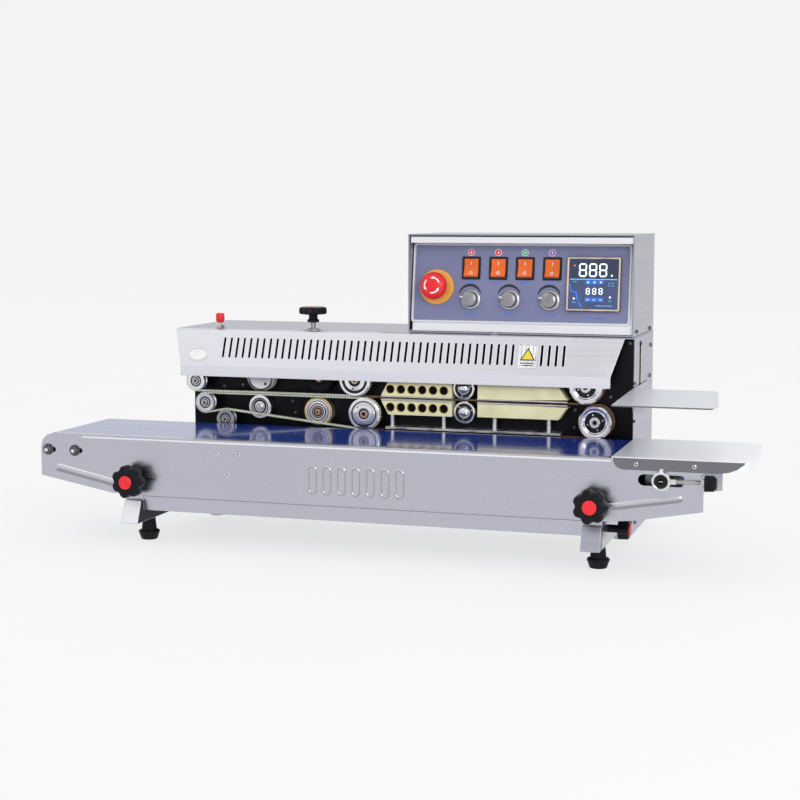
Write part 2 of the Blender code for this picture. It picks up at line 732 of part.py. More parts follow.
def wheels():
    """Everything that turns on the head's base plate."""
    drive = shafted([(22.2, 4.0), (22.2, 4.9), (GUIDE_PULLEY_R, 4.9), (GUIDE_PULLEY_R, 13.6),
                     (WHEEL_R, 13.6), (WHEEL_R, WHEEL_REAR)])
    driven = shafted([(21.0, 4.0), (22.6, 5.6), (22.6, 13.6), (WHEEL_R, 13.6), (WHEEL_R, WHEEL_REAR)])
    idler = shafted([(13.6, 4.0), (13.6, 4.9), (IDLER_R, 4.9), (IDLER_R, 13.6), (13.6, 13.6),
                     (13.6, 15.0)])
    press = shafted([(7.0, 4.0), (7.0, 8.0), (PRESS_R, 9.0), (PRESS_R, 29.0)])
    placing = (
        ("outfeed_wheel_upper", OUT_UPPER, drive, chrome()),
        ("outfeed_wheel_lower", OUT_LOWER, drive, chrome()),
        ("infeed_wheel_upper", IN_UPPER, driven, chrome()),
        ("infeed_wheel_lower", IN_LOWER, driven, chrome()),
        ("press_roller_upper", PRESS_UPPER, press, chrome()),
        ("press_roller_lower", PRESS_LOWER, press, chrome()),
        ("guide_idler_upper", IDLER_UPPER, idler, chrome()),
        ("guide_idler_lower", IDLER_LOWER, idler, chrome()),
        ("guide_tension_idler", IDLER_TENSION, idler, chrome()),
        ("coding_wheel_upper", CODE_UPPER, shafted([(CODE_UPPER_R, 14.5), (CODE_UPPER_R, 28.0)]), chrome()),
        ("coding_wheel_lower", CODE_LOWER, shafted([(CODE_LOWER_R, 14.5), (CODE_LOWER_R, 28.0)]), chrome()),
        ("ink_wheel_upper", INK_UPPER, shafted([(INK_UPPER_R, 14.5), (INK_UPPER_R, 28.0)]), foot_rubber()),
        ("ink_wheel_lower", INK_LOWER, shafted([(INK_LOWER_R, 14.5), (INK_LOWER_R, 28.0)]), chrome()),
    )
    for name, (x, z), profile, paint in placing:
        make(name, lambda bm: add_lathe(bm, profile), paint, at=(x, 0, z), smooth=True)


def upper_guide_plate():
    """Plate over the infeed table, bolted to the side of the housing."""
    low, high = 208.0, 210.0
    left = HEAD_RIGHT + GAP

    def body(bm):
        corner = [(431 - 8 * (1 - math.cos(a)), 25 - 8 * (1 - math.sin(a)))
                  for a in (math.radians(d) for d in (90, 60, 30, 0))]
        near = [(x, -143 - y) for x, y in reversed(corner)]
        add_prism(bm, [(left, 25)] + corner + near + [(306, -168)], "Z", low, high)

    def arm(bm):
        add_box(bm, (left, left + 24), (20, 60), (low, high))

    def tab(bm):
        add_box(bm, (left, left + SHEET), (PLATE_Y + 8, 148), (178, high))

    plate = make("upper_guide_plate", body, stainless())
    carve(plate, arm, "UNION")
    carve(plate, tab, "UNION")


def head_insides():
    """Main gearmotor, cooling blower and the mains inlet."""
    def gearbox(bm):
        add_box(bm, (-116, -40), (62, 112), (128, 200))

    def motor(bm):
        add_rod(bm, 30, "Y", 111, 188, (-78, 164), segments=ROUND)

    machine = make("main_gearmotor", gearbox, material("cast_gearbox", (0.35, 0.36, 0.38), 0.5, 0.8))
    carve(machine, motor, "UNION")

    def fan(bm):
        add_box(bm, (135, 225), (HEAD_BACK - SHEET - GAP - 25, HEAD_BACK - SHEET - GAP), (85, 175))

    def duct(bm):
        add_rod(bm, 36, "Y", HEAD_BACK - 40, HEAD_BACK + 5, (180, 130), segments=ROUND)

    blower = make("cooling_fan_frame", fan, black_plastic())
    carve(blower, duct)

    def inlet(bm):
        add_box(bm, (-253.5, -226.5), (HEAD_BACK - 18, HEAD_BACK + 1), (50.5, 69.5))

    def rim(bm):
        add_box(bm, (-262, -218), (HEAD_BACK + GAP, HEAD_BACK + 3.3), (46, 74))

    def socket(bm):
        add_box(bm, (-250.5, -229.5), (HEAD_BACK - 14, HEAD_BACK + 5), (53, 67))

    mains = make("power_inlet", inlet, black_plastic())
    carve(mains, rim, "UNION")
    carve(mains, socket)


def top_controls():
    """Pressure hand knob and spring pin on the head's top."""
    base = HEAD_TOP + SHEET + GAP

    def star(bm):
        add_prism(bm, star_outline(20.0), "Z", 299 - base, 310 - base)

    def stem(bm):
        add_lathe(bm, [(0, 235 - base), (4, 235 - base), (4, 289 - base), (8, 291 - base),
                       (8, 300 - base), (0, 300 - base)], FINE, "Z")

    knob = make("pressure_knob", star, black_plastic(), at=(STAR_X, STAR_Y, base))
    carve(knob, stem, "UNION")

    def pin(bm):
        add_lathe(bm, [(0, 250 - base), (2.2, 250 - base), (2.2, 284.5 - base), (4.5, 285 - base),
                       (6.2, 288 - base), (6.2, 298.5 - base), (0, 298.5 - base)], FINE, "Z")

    make("release_pin", pin, red_plastic(), at=(PIN_X, PIN_Y, base), smooth=True)


# --------------------------------------------------------------- control box
def control_box():
    def body(bm):
        add_box(bm, (BOX_LEFT, BOX_RIGHT), (BOX_FRONT, BOX_BACK), (BOX_BOTTOM, BOX_TOP))

    def hollow(bm):
        add_box(bm, (BOX_LEFT + SHEET, BOX_RIGHT - SHEET), (BOX_FRONT - 5, BOX_BACK - SHEET),
                (BOX_BOTTOM + SHEET, BOX_TOP - SHEET))

    box = make("control_box", body, stainless())
    carve(box, hollow)


def panel_space():
    """Empty at the panel's lower edge: X across, Z up along the panel, Y into the box."""
    space = bpy.data.objects.new("panel_space", None)
    bpy.context.scene.collection.objects.link(space)
    space.location = Vector(PANEL_FOOT) * MM
    space.rotation_euler.x = -PANEL_TILT
    return space


def control_panel(space):
    left, right = BOX_LEFT + SHEET + GAP, BOX_RIGHT - SHEET - GAP

    def body(bm):
        add_box(bm, (left, right), (0, SHEET), (0, PANEL_HEIGHT - 2.5))

    def ring(bm):
        add_rod(bm, 24.0, "Y", -2.0, 1.0, (STOP_X, STOP_S), segments=ROUND)

    def holes(bm):
        for x in ROCKER_X:
            add_box(bm, (x - ROCKER_W / 2 - 0.6, x + ROCKER_W / 2 + 0.6), (-3, 5),
                    (ROCKER_S - ROCKER_H / 2 - 0.8, ROCKER_S + ROCKER_H / 2 + 0.8))
        for x in KNOB_X:
            add_rod(bm, 3.6, "Y", -3, 5, (x, KNOB_S))
        add_rod(bm, 9.0, "Y", -5, 5, (STOP_X, STOP_S))
        half = METER_SIZE / 2 - 2
        add_box(bm, (METER_X - half, METER_X + half), (-3, 5), (METER_S - half, METER_S + half))

    panel = make("control_panel", body, stainless(), parent=space)
    carve(panel, ring, "UNION")
    carve(panel, holes)

    def meter(bm):
        half = METER_SIZE / 2
        add_box(bm, (METER_X - half, METER_X + half), (-7, -GAP), (METER_S - half, METER_S + half))

    def case(bm):
        half = METER_SIZE / 2 - 2.4
        add_box(bm, (METER_X - half, METER_X + half), (-2, 60), (METER_S - half, METER_S + half))

    controller = make("temperature_controller", meter, black_plastic(), parent=space)
    carve(controller, case, "UNION")


def panel_controls(space):
    rocker_names = ("power", "heater", "fan", "drive")
    knob_names = ("speed", "coding", "blower")
    half = ROCKER_H / 2

    def rocker(bm):
        side = [(-3.6, -half), (-1.6, 0), (-3.6, half), (2.5, half - 0.5), (7, 5), (7, -5),
                (2.5, 0.5 - half)]
        add_prism(bm, side, "X", -ROCKER_W / 2, ROCKER_W / 2)

    for label, x in zip(rocker_names, ROCKER_X):
        make(f"rocker_{label}", rocker, material("orange_rocker", (0.85, 0.2, 0.03), 0.3),
             at=(x, 0, ROCKER_S), parent=space, tilt=math.radians(-7))

    def knob(bm):
        add_lathe(bm, [(0, -16), (9.5, -16), (10.5, -3), (12.8, -1.2), (12.8, -0.6), (3.0, -0.6),
                       (3.0, 12), (0, 12)], FINE)

    for label, x in zip(knob_names, KNOB_X):
        make(f"{label}_knob", knob, material("grey_knob", (0.45, 0.45, 0.47), 0.35, 0.6),
             at=(x, 0, KNOB_S), parent=space, smooth=True)

    def mushroom(bm):
        add_lathe(bm, [(0, -27), (12, -26), (17, -22.5), (18.8, -18), (17.5, -15), (12, -13),
                       (8, -13), (8, 24), (0, 24)])

    make("stop_button", mushroom, red_plastic(), at=(STOP_X, 0, STOP_S), parent=space, smooth=True)


def build():
    for old in list(bpy.data.objects):
        bpy.data.objects.remove(old, do_unlink=True)
    front_rail()
    rear_rail()
    conveyor_deck()
    rollers()
    take_up()
    infeed_table()
    conveyor_motor()
    stand()
    feet()
    clamp_knobs()
    base_plate()
    housing()
    top_plate()
    guard()
    blocks()
    bands_and_belts()
    wheels()
    upper_guide_plate()
    head_insides()
    top_controls()
    control_box()
    space = panel_space()
    control_panel(space)
    panel_controls(space)


build()
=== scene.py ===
"""Looks of a bench-top continuous band sealer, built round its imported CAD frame.

Lengths in the builders below are millimetres in the part's own frame: X along the conveyor towards
the infeed table, Y away from the operator, Z up. Meshes are scaled to metres when they are made.
"""

import json
import math

import bmesh
import bpy
from mathutils import Matrix, Vector


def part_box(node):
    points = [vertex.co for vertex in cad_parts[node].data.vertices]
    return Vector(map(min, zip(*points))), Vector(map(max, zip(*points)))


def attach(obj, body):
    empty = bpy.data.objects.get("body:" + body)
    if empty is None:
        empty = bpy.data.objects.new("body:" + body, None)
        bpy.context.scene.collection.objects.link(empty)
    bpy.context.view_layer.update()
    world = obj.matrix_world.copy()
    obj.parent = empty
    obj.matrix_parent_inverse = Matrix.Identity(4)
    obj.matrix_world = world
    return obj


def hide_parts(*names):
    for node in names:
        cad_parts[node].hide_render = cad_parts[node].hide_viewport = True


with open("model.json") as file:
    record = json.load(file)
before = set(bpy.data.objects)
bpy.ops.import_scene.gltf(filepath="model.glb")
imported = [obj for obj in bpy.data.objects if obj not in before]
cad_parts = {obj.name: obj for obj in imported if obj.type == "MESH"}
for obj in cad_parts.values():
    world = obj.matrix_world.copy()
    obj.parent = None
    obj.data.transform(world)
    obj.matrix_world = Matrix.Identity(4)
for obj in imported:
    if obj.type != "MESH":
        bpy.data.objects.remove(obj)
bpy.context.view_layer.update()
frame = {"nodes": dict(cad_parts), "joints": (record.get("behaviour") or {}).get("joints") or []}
NODES = frame["nodes"]
MM = 0.001
ROUND = 64
FINE = 32
SURFACE = 0.05     # how far thin prints and inserts stand off the face under them


# ------------------------------------------------------------------ node boxes
def low(node):
    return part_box(node)[0] / MM


def high(node):
    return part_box(node)[1] / MM


def middle(node):
    return (low(node) + high(node)) / 2


def pivot(body):
    """Where a body's own joint sits."""
    joint = next(j for j in frame["joints"] if j["child"] == body)
    return Vector(joint["pos_m"]) / MM


# ------------------------------------------------------------------- materials
class Paint:
    """A Principled material with the few procedural nodes that every finish here shares."""

    def __init__(self, name, colour, roughness, metallic=0.0, **sockets):
        self.material = bpy.data.materials.new(name)
        self.material.use_nodes = True
        self.tree = self.material.node_tree
        self.shader = self.tree.nodes["Principled BSDF"]
        self.set("Base Color", (*colour, 1.0))
        self.set("Roughness", roughness)
        self.set("Metallic", metallic)
        for socket, value in sockets.items():
            self.set(socket.replace("_", " "), value)
        self.place = self.tree.nodes.new("ShaderNodeTexCoord").outputs["Object"]

    def set(self, socket, value):
        self.shader.inputs[socket].default_value = value

    def link(self, source, target):
        self.tree.links.new(source, target)
        return source

    def scaled(self, scale, place=None):
        node = self.tree.nodes.new("ShaderNodeMapping")
        node.inputs["Scale"].default_value = scale
        self.link(place or self.place, node.inputs["Vector"])
        return node.outputs["Vector"]

    def noise(self, scale, detail=3.0, stretch=(1, 1, 1), roughness=0.5):
        node = self.tree.nodes.new("ShaderNodeTexNoise")
        node.inputs["Scale"].default_value = scale
        node.inputs["Detail"].default_value = detail
        node.inputs["Roughness"].default_value = roughness
        self.link(self.scaled(stretch), node.inputs["Vector"])
        return node.outputs["Fac"]

    def spread(self, source, low_value, high_value, start=0.3, end=0.7):
        """Map a 0 to 1 pattern onto a range of numbers."""
        node = self.tree.nodes.new("ShaderNodeMapRange")
        for socket, value in (("From Min", start), ("From Max", end), ("To Min", low_value),
                              ("To Max", high_value)):
            node.inputs[socket].default_value = value
        self.link(source, node.inputs["Value"])
        return node.outputs["Result"]

    def blend(self, factor, first, second):
        """Mix two colours, or a socket and a colour, by a pattern."""
        node = self.tree.nodes.new("ShaderNodeMix")
        node.data_type = "RGBA"
        self.link(factor, node.inputs["Factor"])
        for name, value in (("A", first), ("B", second)):
            socket = next(s for s in node.inputs if s.name == name and s.type == "RGBA")
            if isinstance(value, tuple):
                socket.default_value = (*value, 1.0)
            else:
                self.link(value, socket)
        return next(s for s in node.outputs if s.type == "RGBA")

    def bump(self, height, strength, distance):
        node = self.tree.nodes.new("ShaderNodeBump")
        node.inputs["Strength"].default_value = strength
        node.inputs["Distance"].default_value = distance
        self.link(height, node.inputs["Height"])
        before = self.shader.inputs["Normal"]
        if before.is_linked:
            self.link(before.links[0].from_socket, node.inputs["Normal"])
        self.link(node.outputs["Normal"], self.shader.inputs["Normal"])

    def colour_from(self, source):
        self.link(source, self.shader.inputs["Base Color"])

    def roughness_from(self, source):
        self.link(source, self.shader.inputs["Roughness"])


def shade(colour, factor):
    return tuple(min(1.0, c * factor) for c in colour)


def brushed(name, colour, roughness, grain, metallic=1.0):
    """Brushed sheet metal. grain stretches the pattern, so the small number is along the brushing."""
    paint = Paint(name, colour, roughness, metallic)
    lines = paint.noise(1.0, 4.0, grain, 0.65)
    cloud = paint.noise(9.0, 3.0)
    paint.roughness_from(paint.spread(lines, roughness - 0.07, roughness + 0.09))
    tone = paint.blend(paint.spread(lines, 0.0, 1.0), shade(colour, 0.94), shade(colour, 1.04))
    paint.colour_from(paint.blend(paint.spread(cloud, 0.0, 0.35), tone, shade(colour, 0.93)))
    paint.bump(lines, 0.05, 0.0001)
    return paint.material


def polished(name, colour, roughness=0.09):
    """Plated or turned metal with fine marks and a slight haze."""
    paint = Paint(name, colour, roughness, 1.0)
    marks = paint.noise(420.0, 4.0, (1, 3, 1))
    haze = paint.noise(60.0, 2.0)
    paint.roughness_from(paint.spread(haze, roughness * 0.7, roughness * 1.8))
    paint.colour_from(paint.blend(paint.spread(marks, 0.0, 1.0), shade(colour, 0.93), colour))
    paint.bump(marks, 0.05, 0.00006)
    return paint.material


def moulded(name, colour, roughness, grain=900.0, strength=0.12, **sockets):
    """Moulded plastic or rubber: a fine grain, uneven gloss and rubbed spots."""
    paint = Paint(name, colour, roughness, 0.0, **sockets)
    pores = paint.noise(grain, 3.0)
    patches = paint.noise(38.0, 3.0)
    paint.roughness_from(paint.spread(patches, roughness - 0.06, roughness + 0.10))
    paint.colour_from(paint.blend(paint.spread(patches, 0.0, 1.0), shade(colour, 0.88),
                                  shade(colour, 1.12)))
    paint.bump(pores, strength, 0.00015)
    return paint.material


def enamelled(name, colour, roughness):
    """Sprayed paint with a little orange peel and dust."""
    paint = Paint(name, colour, roughness, 0.0, Specular_IOR_Level=0.2)
    peel = paint.noise(260.0, 2.0)
    dust = paint.noise(45.0, 5.0)
    paint.roughness_from(paint.spread(dust, roughness - 0.05, roughness + 0.12))
    paint.colour_from(paint.blend(paint.spread(dust, 0.0, 1.0, 0.45, 0.8), colour,
                                  shade(colour, 1.5)))
    paint.bump(peel, 0.10, 0.0002)
    return paint.material


def woven(name, first, second, pitch, roughness):
    """Coated glass cloth, a plain weave under a thin film."""
    paint = Paint(name, first, roughness)
    waves = []
    for direction in ("X", "Y"):
        node = paint.tree.nodes.new("ShaderNodeTexWave")
        node.bands_direction = direction
        node.inputs["Scale"].default_value = pitch
        paint.link(paint.place, node.inputs["Vector"])
        waves.append(node.outputs["Fac"])
    product = paint.tree.nodes.new("ShaderNodeMath")
    product.operation = "MULTIPLY"
    for source, socket in zip(waves, product.inputs):
        paint.link(source, socket)
    weave = product.outputs["Value"]
    stain = paint.noise(70.0, 4.0)
    cloth = paint.blend(weave, shade(first, 0.8), second)
    paint.colour_from(paint.blend(paint.spread(stain, 0.0, 0.6), cloth, shade(first, 0.6)))
    paint.roughness_from(paint.spread(weave, roughness - 0.08, roughness + 0.08, 0.0, 1.0))
    paint.bump(weave, 0.2, 0.0002)
    return paint.material


rail_steel = brushed("steel_brushed_long", (0.52, 0.52, 0.595), 0.27, (3, 700, 900))
guard_steel = brushed("steel_brushed_guard", (0.71, 0.71, 0.75), 0.30, (3, 700, 900), 0.8)
guide_steel = brushed("steel_brushed_guide", (0.74, 0.75, 0.80), 0.36, (4, 500, 500), 0.5)
table_steel = brushed("steel_brushed_table", (0.92, 0.93, 0.96), 0.36, (4, 500, 500), 0.5)
lit_steel = brushed("steel_brushed_lit", (0.66, 0.66, 0.72), 0.25, (3, 700, 900))
shaded_steel = brushed("steel_brushed_shaded", (0.32, 0.32, 0.37), 0.30, (3, 700, 900))
# Dark copy of the brushed steel: painted shade on faces turned from the light.
painted_shade_steel = brushed("steel_brushed_painted_shade", (0.20, 0.20, 0.22), 0.30, (4, 600, 600))
side_steel = brushed("steel_brushed_deep", (0.40, 0.405, 0.47), 0.30, (900, 3, 700))
plain_steel = brushed("steel_brushed_fine", (0.44, 0.445, 0.52), 0.34, (5, 500, 500))
# Satin frame metal, also used as a painted highlight on edges and rims of darker steel.
satin_and_highlight_metal = brushed("satin_metal_and_painted_highlight", (0.84, 0.84, 0.88), 0.36, (6, 400, 600), 0.3)
dial_metal = polished("knob_cap_satin", (0.34, 0.34, 0.36), 0.24)
chromed = polished("chrome_plate", (0.80, 0.80, 0.82))
turned = polished("turned_steel", (0.60, 0.59, 0.58), 0.2)
zinc = polished("zinc_screw", (0.64, 0.64, 0.62), 0.24)
copper = polished("copper_hub", (0.62, 0.46, 0.32), 0.2)
brass_satin = polished("controller_rim_metal", (0.85, 0.72, 0.56), 0.3)
brass = polished("brass_rim", (0.86, 0.62, 0.24), 0.22)
blackened = polished("blackened_steel", (0.13, 0.13, 0.14), 0.22)
silver_white = polished("silvered_disc", (0.86, 0.86, 0.87), 0.3)
plate_paint = moulded("black_plate_paint", (0.0045, 0.0045, 0.0065), 0.33, 900.0, 0.05,
                      Specular_IOR_Level=0.14)
motor_paint = enamelled("motor_grey_paint", (0.09, 0.095, 0.10), 0.45)
black_plastic = moulded("black_plastic", (0.008, 0.008, 0.011), 0.32, Specular_IOR_Level=0.15)
bezel_plastic = moulded("black_bezel_plastic", (0.008, 0.008, 0.010), 0.28, 1200.0, 0.06,
                        Specular_IOR_Level=0.3)
rubber = moulded("black_rubber", (0.007, 0.007, 0.010), 0.55, 500.0, 0.25, Specular_IOR_Level=0.15)
# Near-black paint for screw recesses, slots, holes and gaps: painted shade.
painted_recess_shade = moulded("painted_shade_recess", (0.004, 0.004, 0.005), 0.7, Specular_IOR_Level=0.1)
red_plastic = moulded("red_cap_plastic", (0.80, 0.022, 0.032), 0.28, 1100.0, 0.05,
                      Specular_IOR_Level=0.35)
orange_plastic = moulded("orange_rocker_plastic", (0.84, 0.15, 0.02), 0.24, 1300.0, 0.04,
                         Specular_IOR_Level=0.4)
yellow_plastic = moulded("yellow_ring_plastic", (0.90, 0.42, 0.07), 0.34, 1000.0, 0.05)
white_print = moulded("white_print", (0.92, 0.92, 0.91), 0.5, 700.0, 0.05)
red_print = moulded("red_print", (0.75, 0.04, 0.04), 0.45, 700.0, 0.05)
yellow_print = moulded("yellow_print", (0.93, 0.70, 0.05), 0.45, 700.0, 0.05)
black_print = moulded("black_print", (0.02, 0.02, 0.02), 0.45, 700.0, 0.05)
green_print = moulded("green_print", (0.06, 0.50, 0.22), 0.45, 700.0, 0.05)
violet_print = moulded("violet_print", (0.28, 0.08, 0.45), 0.45, 700.0, 0.05)
cream_metal = moulded("cream_block_coat", (1.0, 0.91, 0.54), 0.42, 600.0, 0.10)
guide_rubber = moulded("guide_belt_rubber", (0.70, 0.74, 0.60), 0.55, 700.0, 0.15)
band_cloth = woven("seal_band_cloth", (0.30, 0.14, 0.08), (0.46, 0.25, 0.15), 260.0, 0.38)


def belt_blue():
    """Glossy conveyor belt: smooth cover, faint cloth ripple, scuffs along its travel."""
    paint = Paint("conveyor_belt_blue", (0.012, 0.042, 0.30), 0.13, Coat_Weight=0.4,
                  Coat_Roughness=0.06)
    scuffs = paint.noise(1.0, 4.0, (6, 260, 30))
    ripple = paint.noise(55.0, 2.0)
    paint.roughness_from(paint.spread(scuffs, 0.09, 0.22))
    paint.colour_from(paint.blend(paint.spread(ripple, 0.0, 1.0), (0.010, 0.038, 0.26),
                                  (0.018, 0.054, 0.34)))
    paint.bump(ripple, 0.10, 0.0006)
    return paint.material


def membrane():
    """Printed polyester panel film, finely textured."""
    colour = (0.195, 0.210, 0.360)
    paint = Paint("panel_membrane_film", colour, 0.42)
    grain = paint.noise(1500.0, 2.0)
    cloud = paint.noise(25.0, 2.0)
    paint.colour_from(paint.blend(paint.spread(cloud, 0.0, 1.0), shade(colour, 0.95),
                                  shade(colour, 1.05)))
    paint.roughness_from(paint.spread(grain, 0.36, 0.50))
    paint.bump(grain, 0.10, 0.0001)
    return paint.material


def glowing(name, colour, strength):
    """A lit segment or lamp behind a tinted window."""
    paint = Paint(name, colour, 0.3)
    cells = paint.noise(900.0, 2.0)
    paint.roughness_from(paint.spread(cells, 0.22, 0.42))
    paint.colour_from(paint.blend(paint.spread(cells, 0.0, 1.0), shade(colour, 0.9), colour))
    paint.set("Emission Color", (*colour, 1.0))
    paint.set("Emission Strength", strength)
    return paint.material


blue_belt = belt_blue()
panel_film = membrane()
window_blue = moulded("display_window", (0.016, 0.030, 0.085), 0.18, 1500.0, 0.02,
                      Coat_Weight=0.5)
window_light = moulded("display_window_light", (0.050, 0.080, 0.190), 0.2, 1500.0, 0.02,
                       Coat_Weight=0.4)
key_blue = moulded("display_key", (0.050, 0.20, 0.72), 0.3, 1500.0, 0.03)
lit_white = glowing("lit_digit", (0.85, 0.93, 1.0), 0.9)
lit_blue = glowing("lit_line", (0.16, 0.50, 0.95), 0.6)
lit_red = glowing("lit_lamp_red", (0.95, 0.10, 0.05), 0.5)


# ------------------------------------------------------------------ placements
def turned_about(axis, degrees):
    return Matrix.Rotation(math.radians(degrees), 4, axis)


def on_top(x, y, z):
    return Matrix.Translation((x, y, z))


def at_front(x, y, z):
    """Local Z points at the operator, local X right and local Y up."""
    return on_top(x, y, z) @ turned_about("X", 90)


def at_back(x, y, z):
    """Local Z points away from the operator and local Y up."""
    return on_top(x, y, z) @ turned_about("Z", 180) @ turned_about("X", 90)


def at_right(x, y, z):
    """Local Z points along +X, local X along Y and local Y up."""
    return on_top(x, y, z) @ turned_about("Z", 90) @ turned_about("X", 90)


# ------------------------------------------------------------------- outlines
def arc(half_x, half_y, start, end, step, centre=(0, 0)):
    """Points of a round or elliptical arc, at every step degrees from start to end."""
    return [(centre[0] + half_x * math.cos(math.radians(a)), centre[1] + half_y * math.sin(math.radians(a)))
            for a in range(start, end + (1 if step > 0 else -1), step)]


def circle(radius, count=FINE, centre=(0, 0)):
    return [(centre[0] + radius * math.cos(2 * math.pi * i / count),
             centre[1] + radius * math.sin(2 * math.pi * i / count)) for i in range(count)]


def rounded(width, height, radius, centre=(0, 0), steps=5):
    """Rectangle with rounded corners, counter-clockwise."""
    points = []
    for sx, sy, start in ((1, -1, -90), (1, 1, 0), (-1, 1, 90), (-1, -1, 180)):
        cx = centre[0] + sx * (width / 2 - radius)
        cy = centre[1] + sy * (height / 2 - radius)
        for i in range(steps + 1):
            a = math.radians(start + 90 * i / steps)
            points.append((cx + radius * math.cos(a), cy + radius * math.sin(a)))
    return points


def ellipse(half_x, half_y, count=48):
    return [(half_x * math.cos(2 * math.pi * i / count), half_y * math.sin(2 * math.pi * i / count))
            for i in range(count)]


def lobed(radius, lobes=7, depth=0.16, count=112):
    """Outline of a hand knob: round lobes with hollows between them."""
    points = []
    for i in range(count):
        a = 2 * math.pi * i / count
        dip = (1 - math.cos(lobes * a)) / 2
        r = radius * (1 - depth * dip ** 1.6)
        points.append((r * math.cos(a), r * math.sin(a)))
    return points


def teeth_outline(radius, count, depth):
    """Fine straight knurl."""
    return [((radius - depth * (i % 2)) * math.cos(math.pi * i / count),
             (radius - depth * (i % 2)) * math.sin(math.pi * i / count)) for i in range(2 * count)]


def scaled(outline, scale):
    return [(x * scale, y * scale) for x, y in outline]


def inset(outline, distance):
    """Move each corner of a counter-clockwise outline inwards."""
    moved = []
    count = len(outline)
    for i in range(count):
        before, here, after = (Vector(outline[(i + k) % count]) for k in (-1, 0, 1))
        normals = []
        for a, b in ((before, here), (here, after)):
            edge = (b - a).normalized()
            normals.append(Vector((-edge.y, edge.x)))
        direction = normals[0] + normals[1]
        if direction.length < 1e-6:
            direction = normals[0]
        direction.normalize()
        stretch = max(0.5, direction.dot(normals[0]))
        moved.append(tuple(here + direction * (distance / stretch)))
    return moved


# ------------------------------------------------------------------ mesh tools
def add_loop(bm, points, place):
    return [bm.verts.new(place @ Vector(p)) for p in points]


def bridge(bm, first, second, slot):
    faces = []
    for i in range(len(first)):
        j = (i + 1) % len(first)
        faces.append(bm.faces.new((first[i], first[j], second[j], second[i])))
        faces[-1].material_index = slot
    return faces


def add_sections(bm, sections, place):
    """A loop of vertices for each (outline, height) section."""
    return [add_loop(bm, [(x, y, height) for x, y in outline], place) for outline, height in sections]


def add_loft(bm, rings, slot=0, face_slot=None):
    """Join loops of vertices into a closed body. face_slot is the paint of the last loop's face."""
    sides = [bridge(bm, first, second, slot) for first, second in zip(rings, rings[1:])]
    bm.faces.new(list(reversed(rings[0]))).material_index = slot
    bm.faces.new(rings[-1]).material_index = slot if face_slot is None else face_slot
    return sides


def add_band(bm, sections, place, slot=0):
    """Close sections into a band whose last section meets its first."""
    rings = add_sections(bm, sections, place)
    return [bridge(bm, ring, rings[(i + 1) % len(rings)], slot) for i, ring in enumerate(rings)]


def paint_relief_light_and_shade(faces, bright=1, dark=2, flat=0.12):
    """Give a front-facing relief a lighter finish where it faces up or left, and a darker one elsewhere: painted
    highlight and painted shade.
    """
    for face in faces:
        face.normal_update()
        rise = face.normal.z if face.normal.y < 0 else -face.normal.z
        side = face.normal.x if face.normal.y < 0 else -face.normal.x
        if rise > flat or (abs(rise) <= flat and side < -flat):
            face.material_index = bright
        elif rise < -flat or side > flat:
            face.material_index = dark


def add_lathe(bm, profile, place, segments=FINE, slot=0):
    """Turn (radius, height) steps about local Z. A third number is the paint of the band up to that step."""
    previous = None
    for radius, height, *own in profile:
        paint = own[0] if own else slot
        if radius < 1e-6:
            ring = [bm.verts.new(place @ Vector((0, 0, height)))]
        else:
            ring = add_loop(bm, [(x, y, height) for x, y in circle(radius, segments)], place)
        if previous is not None:
            for i in range(segments):
                j = (i + 1) % segments
                corners = [previous[i % len(previous)], previous[j % len(previous)],
                           ring[j % len(ring)], ring[i % len(ring)]]
                kept = list(dict.fromkeys(corners))
                if len(kept) > 2:
                    bm.faces.new(kept).material_index = paint
        previous = ring


def add_prism(bm, outline, bottom, top, place, slot=0, face_slot=None, chamfer=0.0):
    """Extrude an outline along local Z, with an optional chamfer round its top face."""
    sections = [(outline, bottom), (outline, top - chamfer)]
    if chamfer:
        sections.append((inset(outline, chamfer), top))
    add_loft(bm, add_sections(bm, sections, place), slot, face_slot)


def add_frame(bm, outline, width, bottom, top, place, slot=0):
    """A closed border of the given width inside an outline."""
    inner = inset(outline, width)
    add_band(bm, [(outline, bottom), (outline, top), (inner, top), (inner, bottom)], place, slot)


def add_box(bm, x, y, z, place=Matrix(), slot=0):
    outline = [(x[0], y[0]), (x[1], y[0]), (x[1], y[1]), (x[0], y[1])]
    add_prism(bm, outline, z[0], z[1], place, slot)


def from_to(start, end):
    """Placement at start with local Z towards end, and the distance between them."""
    run = Vector(end) - Vector(start)
    return Matrix.Translation(start) @ run.to_track_quat("Z", "Y").to_matrix().to_4x4(), run.length


def add_rod(bm, start, end, radius, segments=20, slot=0):
    """Round rod between two points."""
    place, length = from_to(start, end)
    add_lathe(bm, [(0, 0), (radius, 0), (radius, length), (0, length)], place, segments, slot)


def add_thread(bm, start, end, radius, pitch, slot=0):
    """Threaded rod between two points."""
    place, length = from_to(start, end)
    profile = [(0, 0), (radius * 0.8, 0)]
    for i in range(int(length / pitch)):
        profile += [(radius, (i + 0.5) * pitch), (radius * 0.84, (i + 1) * pitch)]
    profile += [(radius * 0.8, length), (0, length)]
    add_lathe(bm, profile, place, 16, slot)


def add_hex_bolt(bm, place, radius, slot=0, washer=1.1):
    """Hexagon head on a washer of the given thickness, or on none."""
    rise = washer
    if washer:
        add_lathe(bm, [(0, 0), (radius * 1.25, 0), (radius * 1.25, washer - 0.2), (radius * 1.15, washer),
                       (0, washer)], place, FINE, slot)
    add_prism(bm, circle(radius, 6), rise, rise + radius * 0.6, place, slot, chamfer=radius * 0.12)
    add_lathe(bm, [(0, rise), (radius * 0.62, rise + radius * 0.58), (radius * 0.55, rise + radius * 0.68),
                   (0, rise + radius * 0.68)], place, 24, slot)


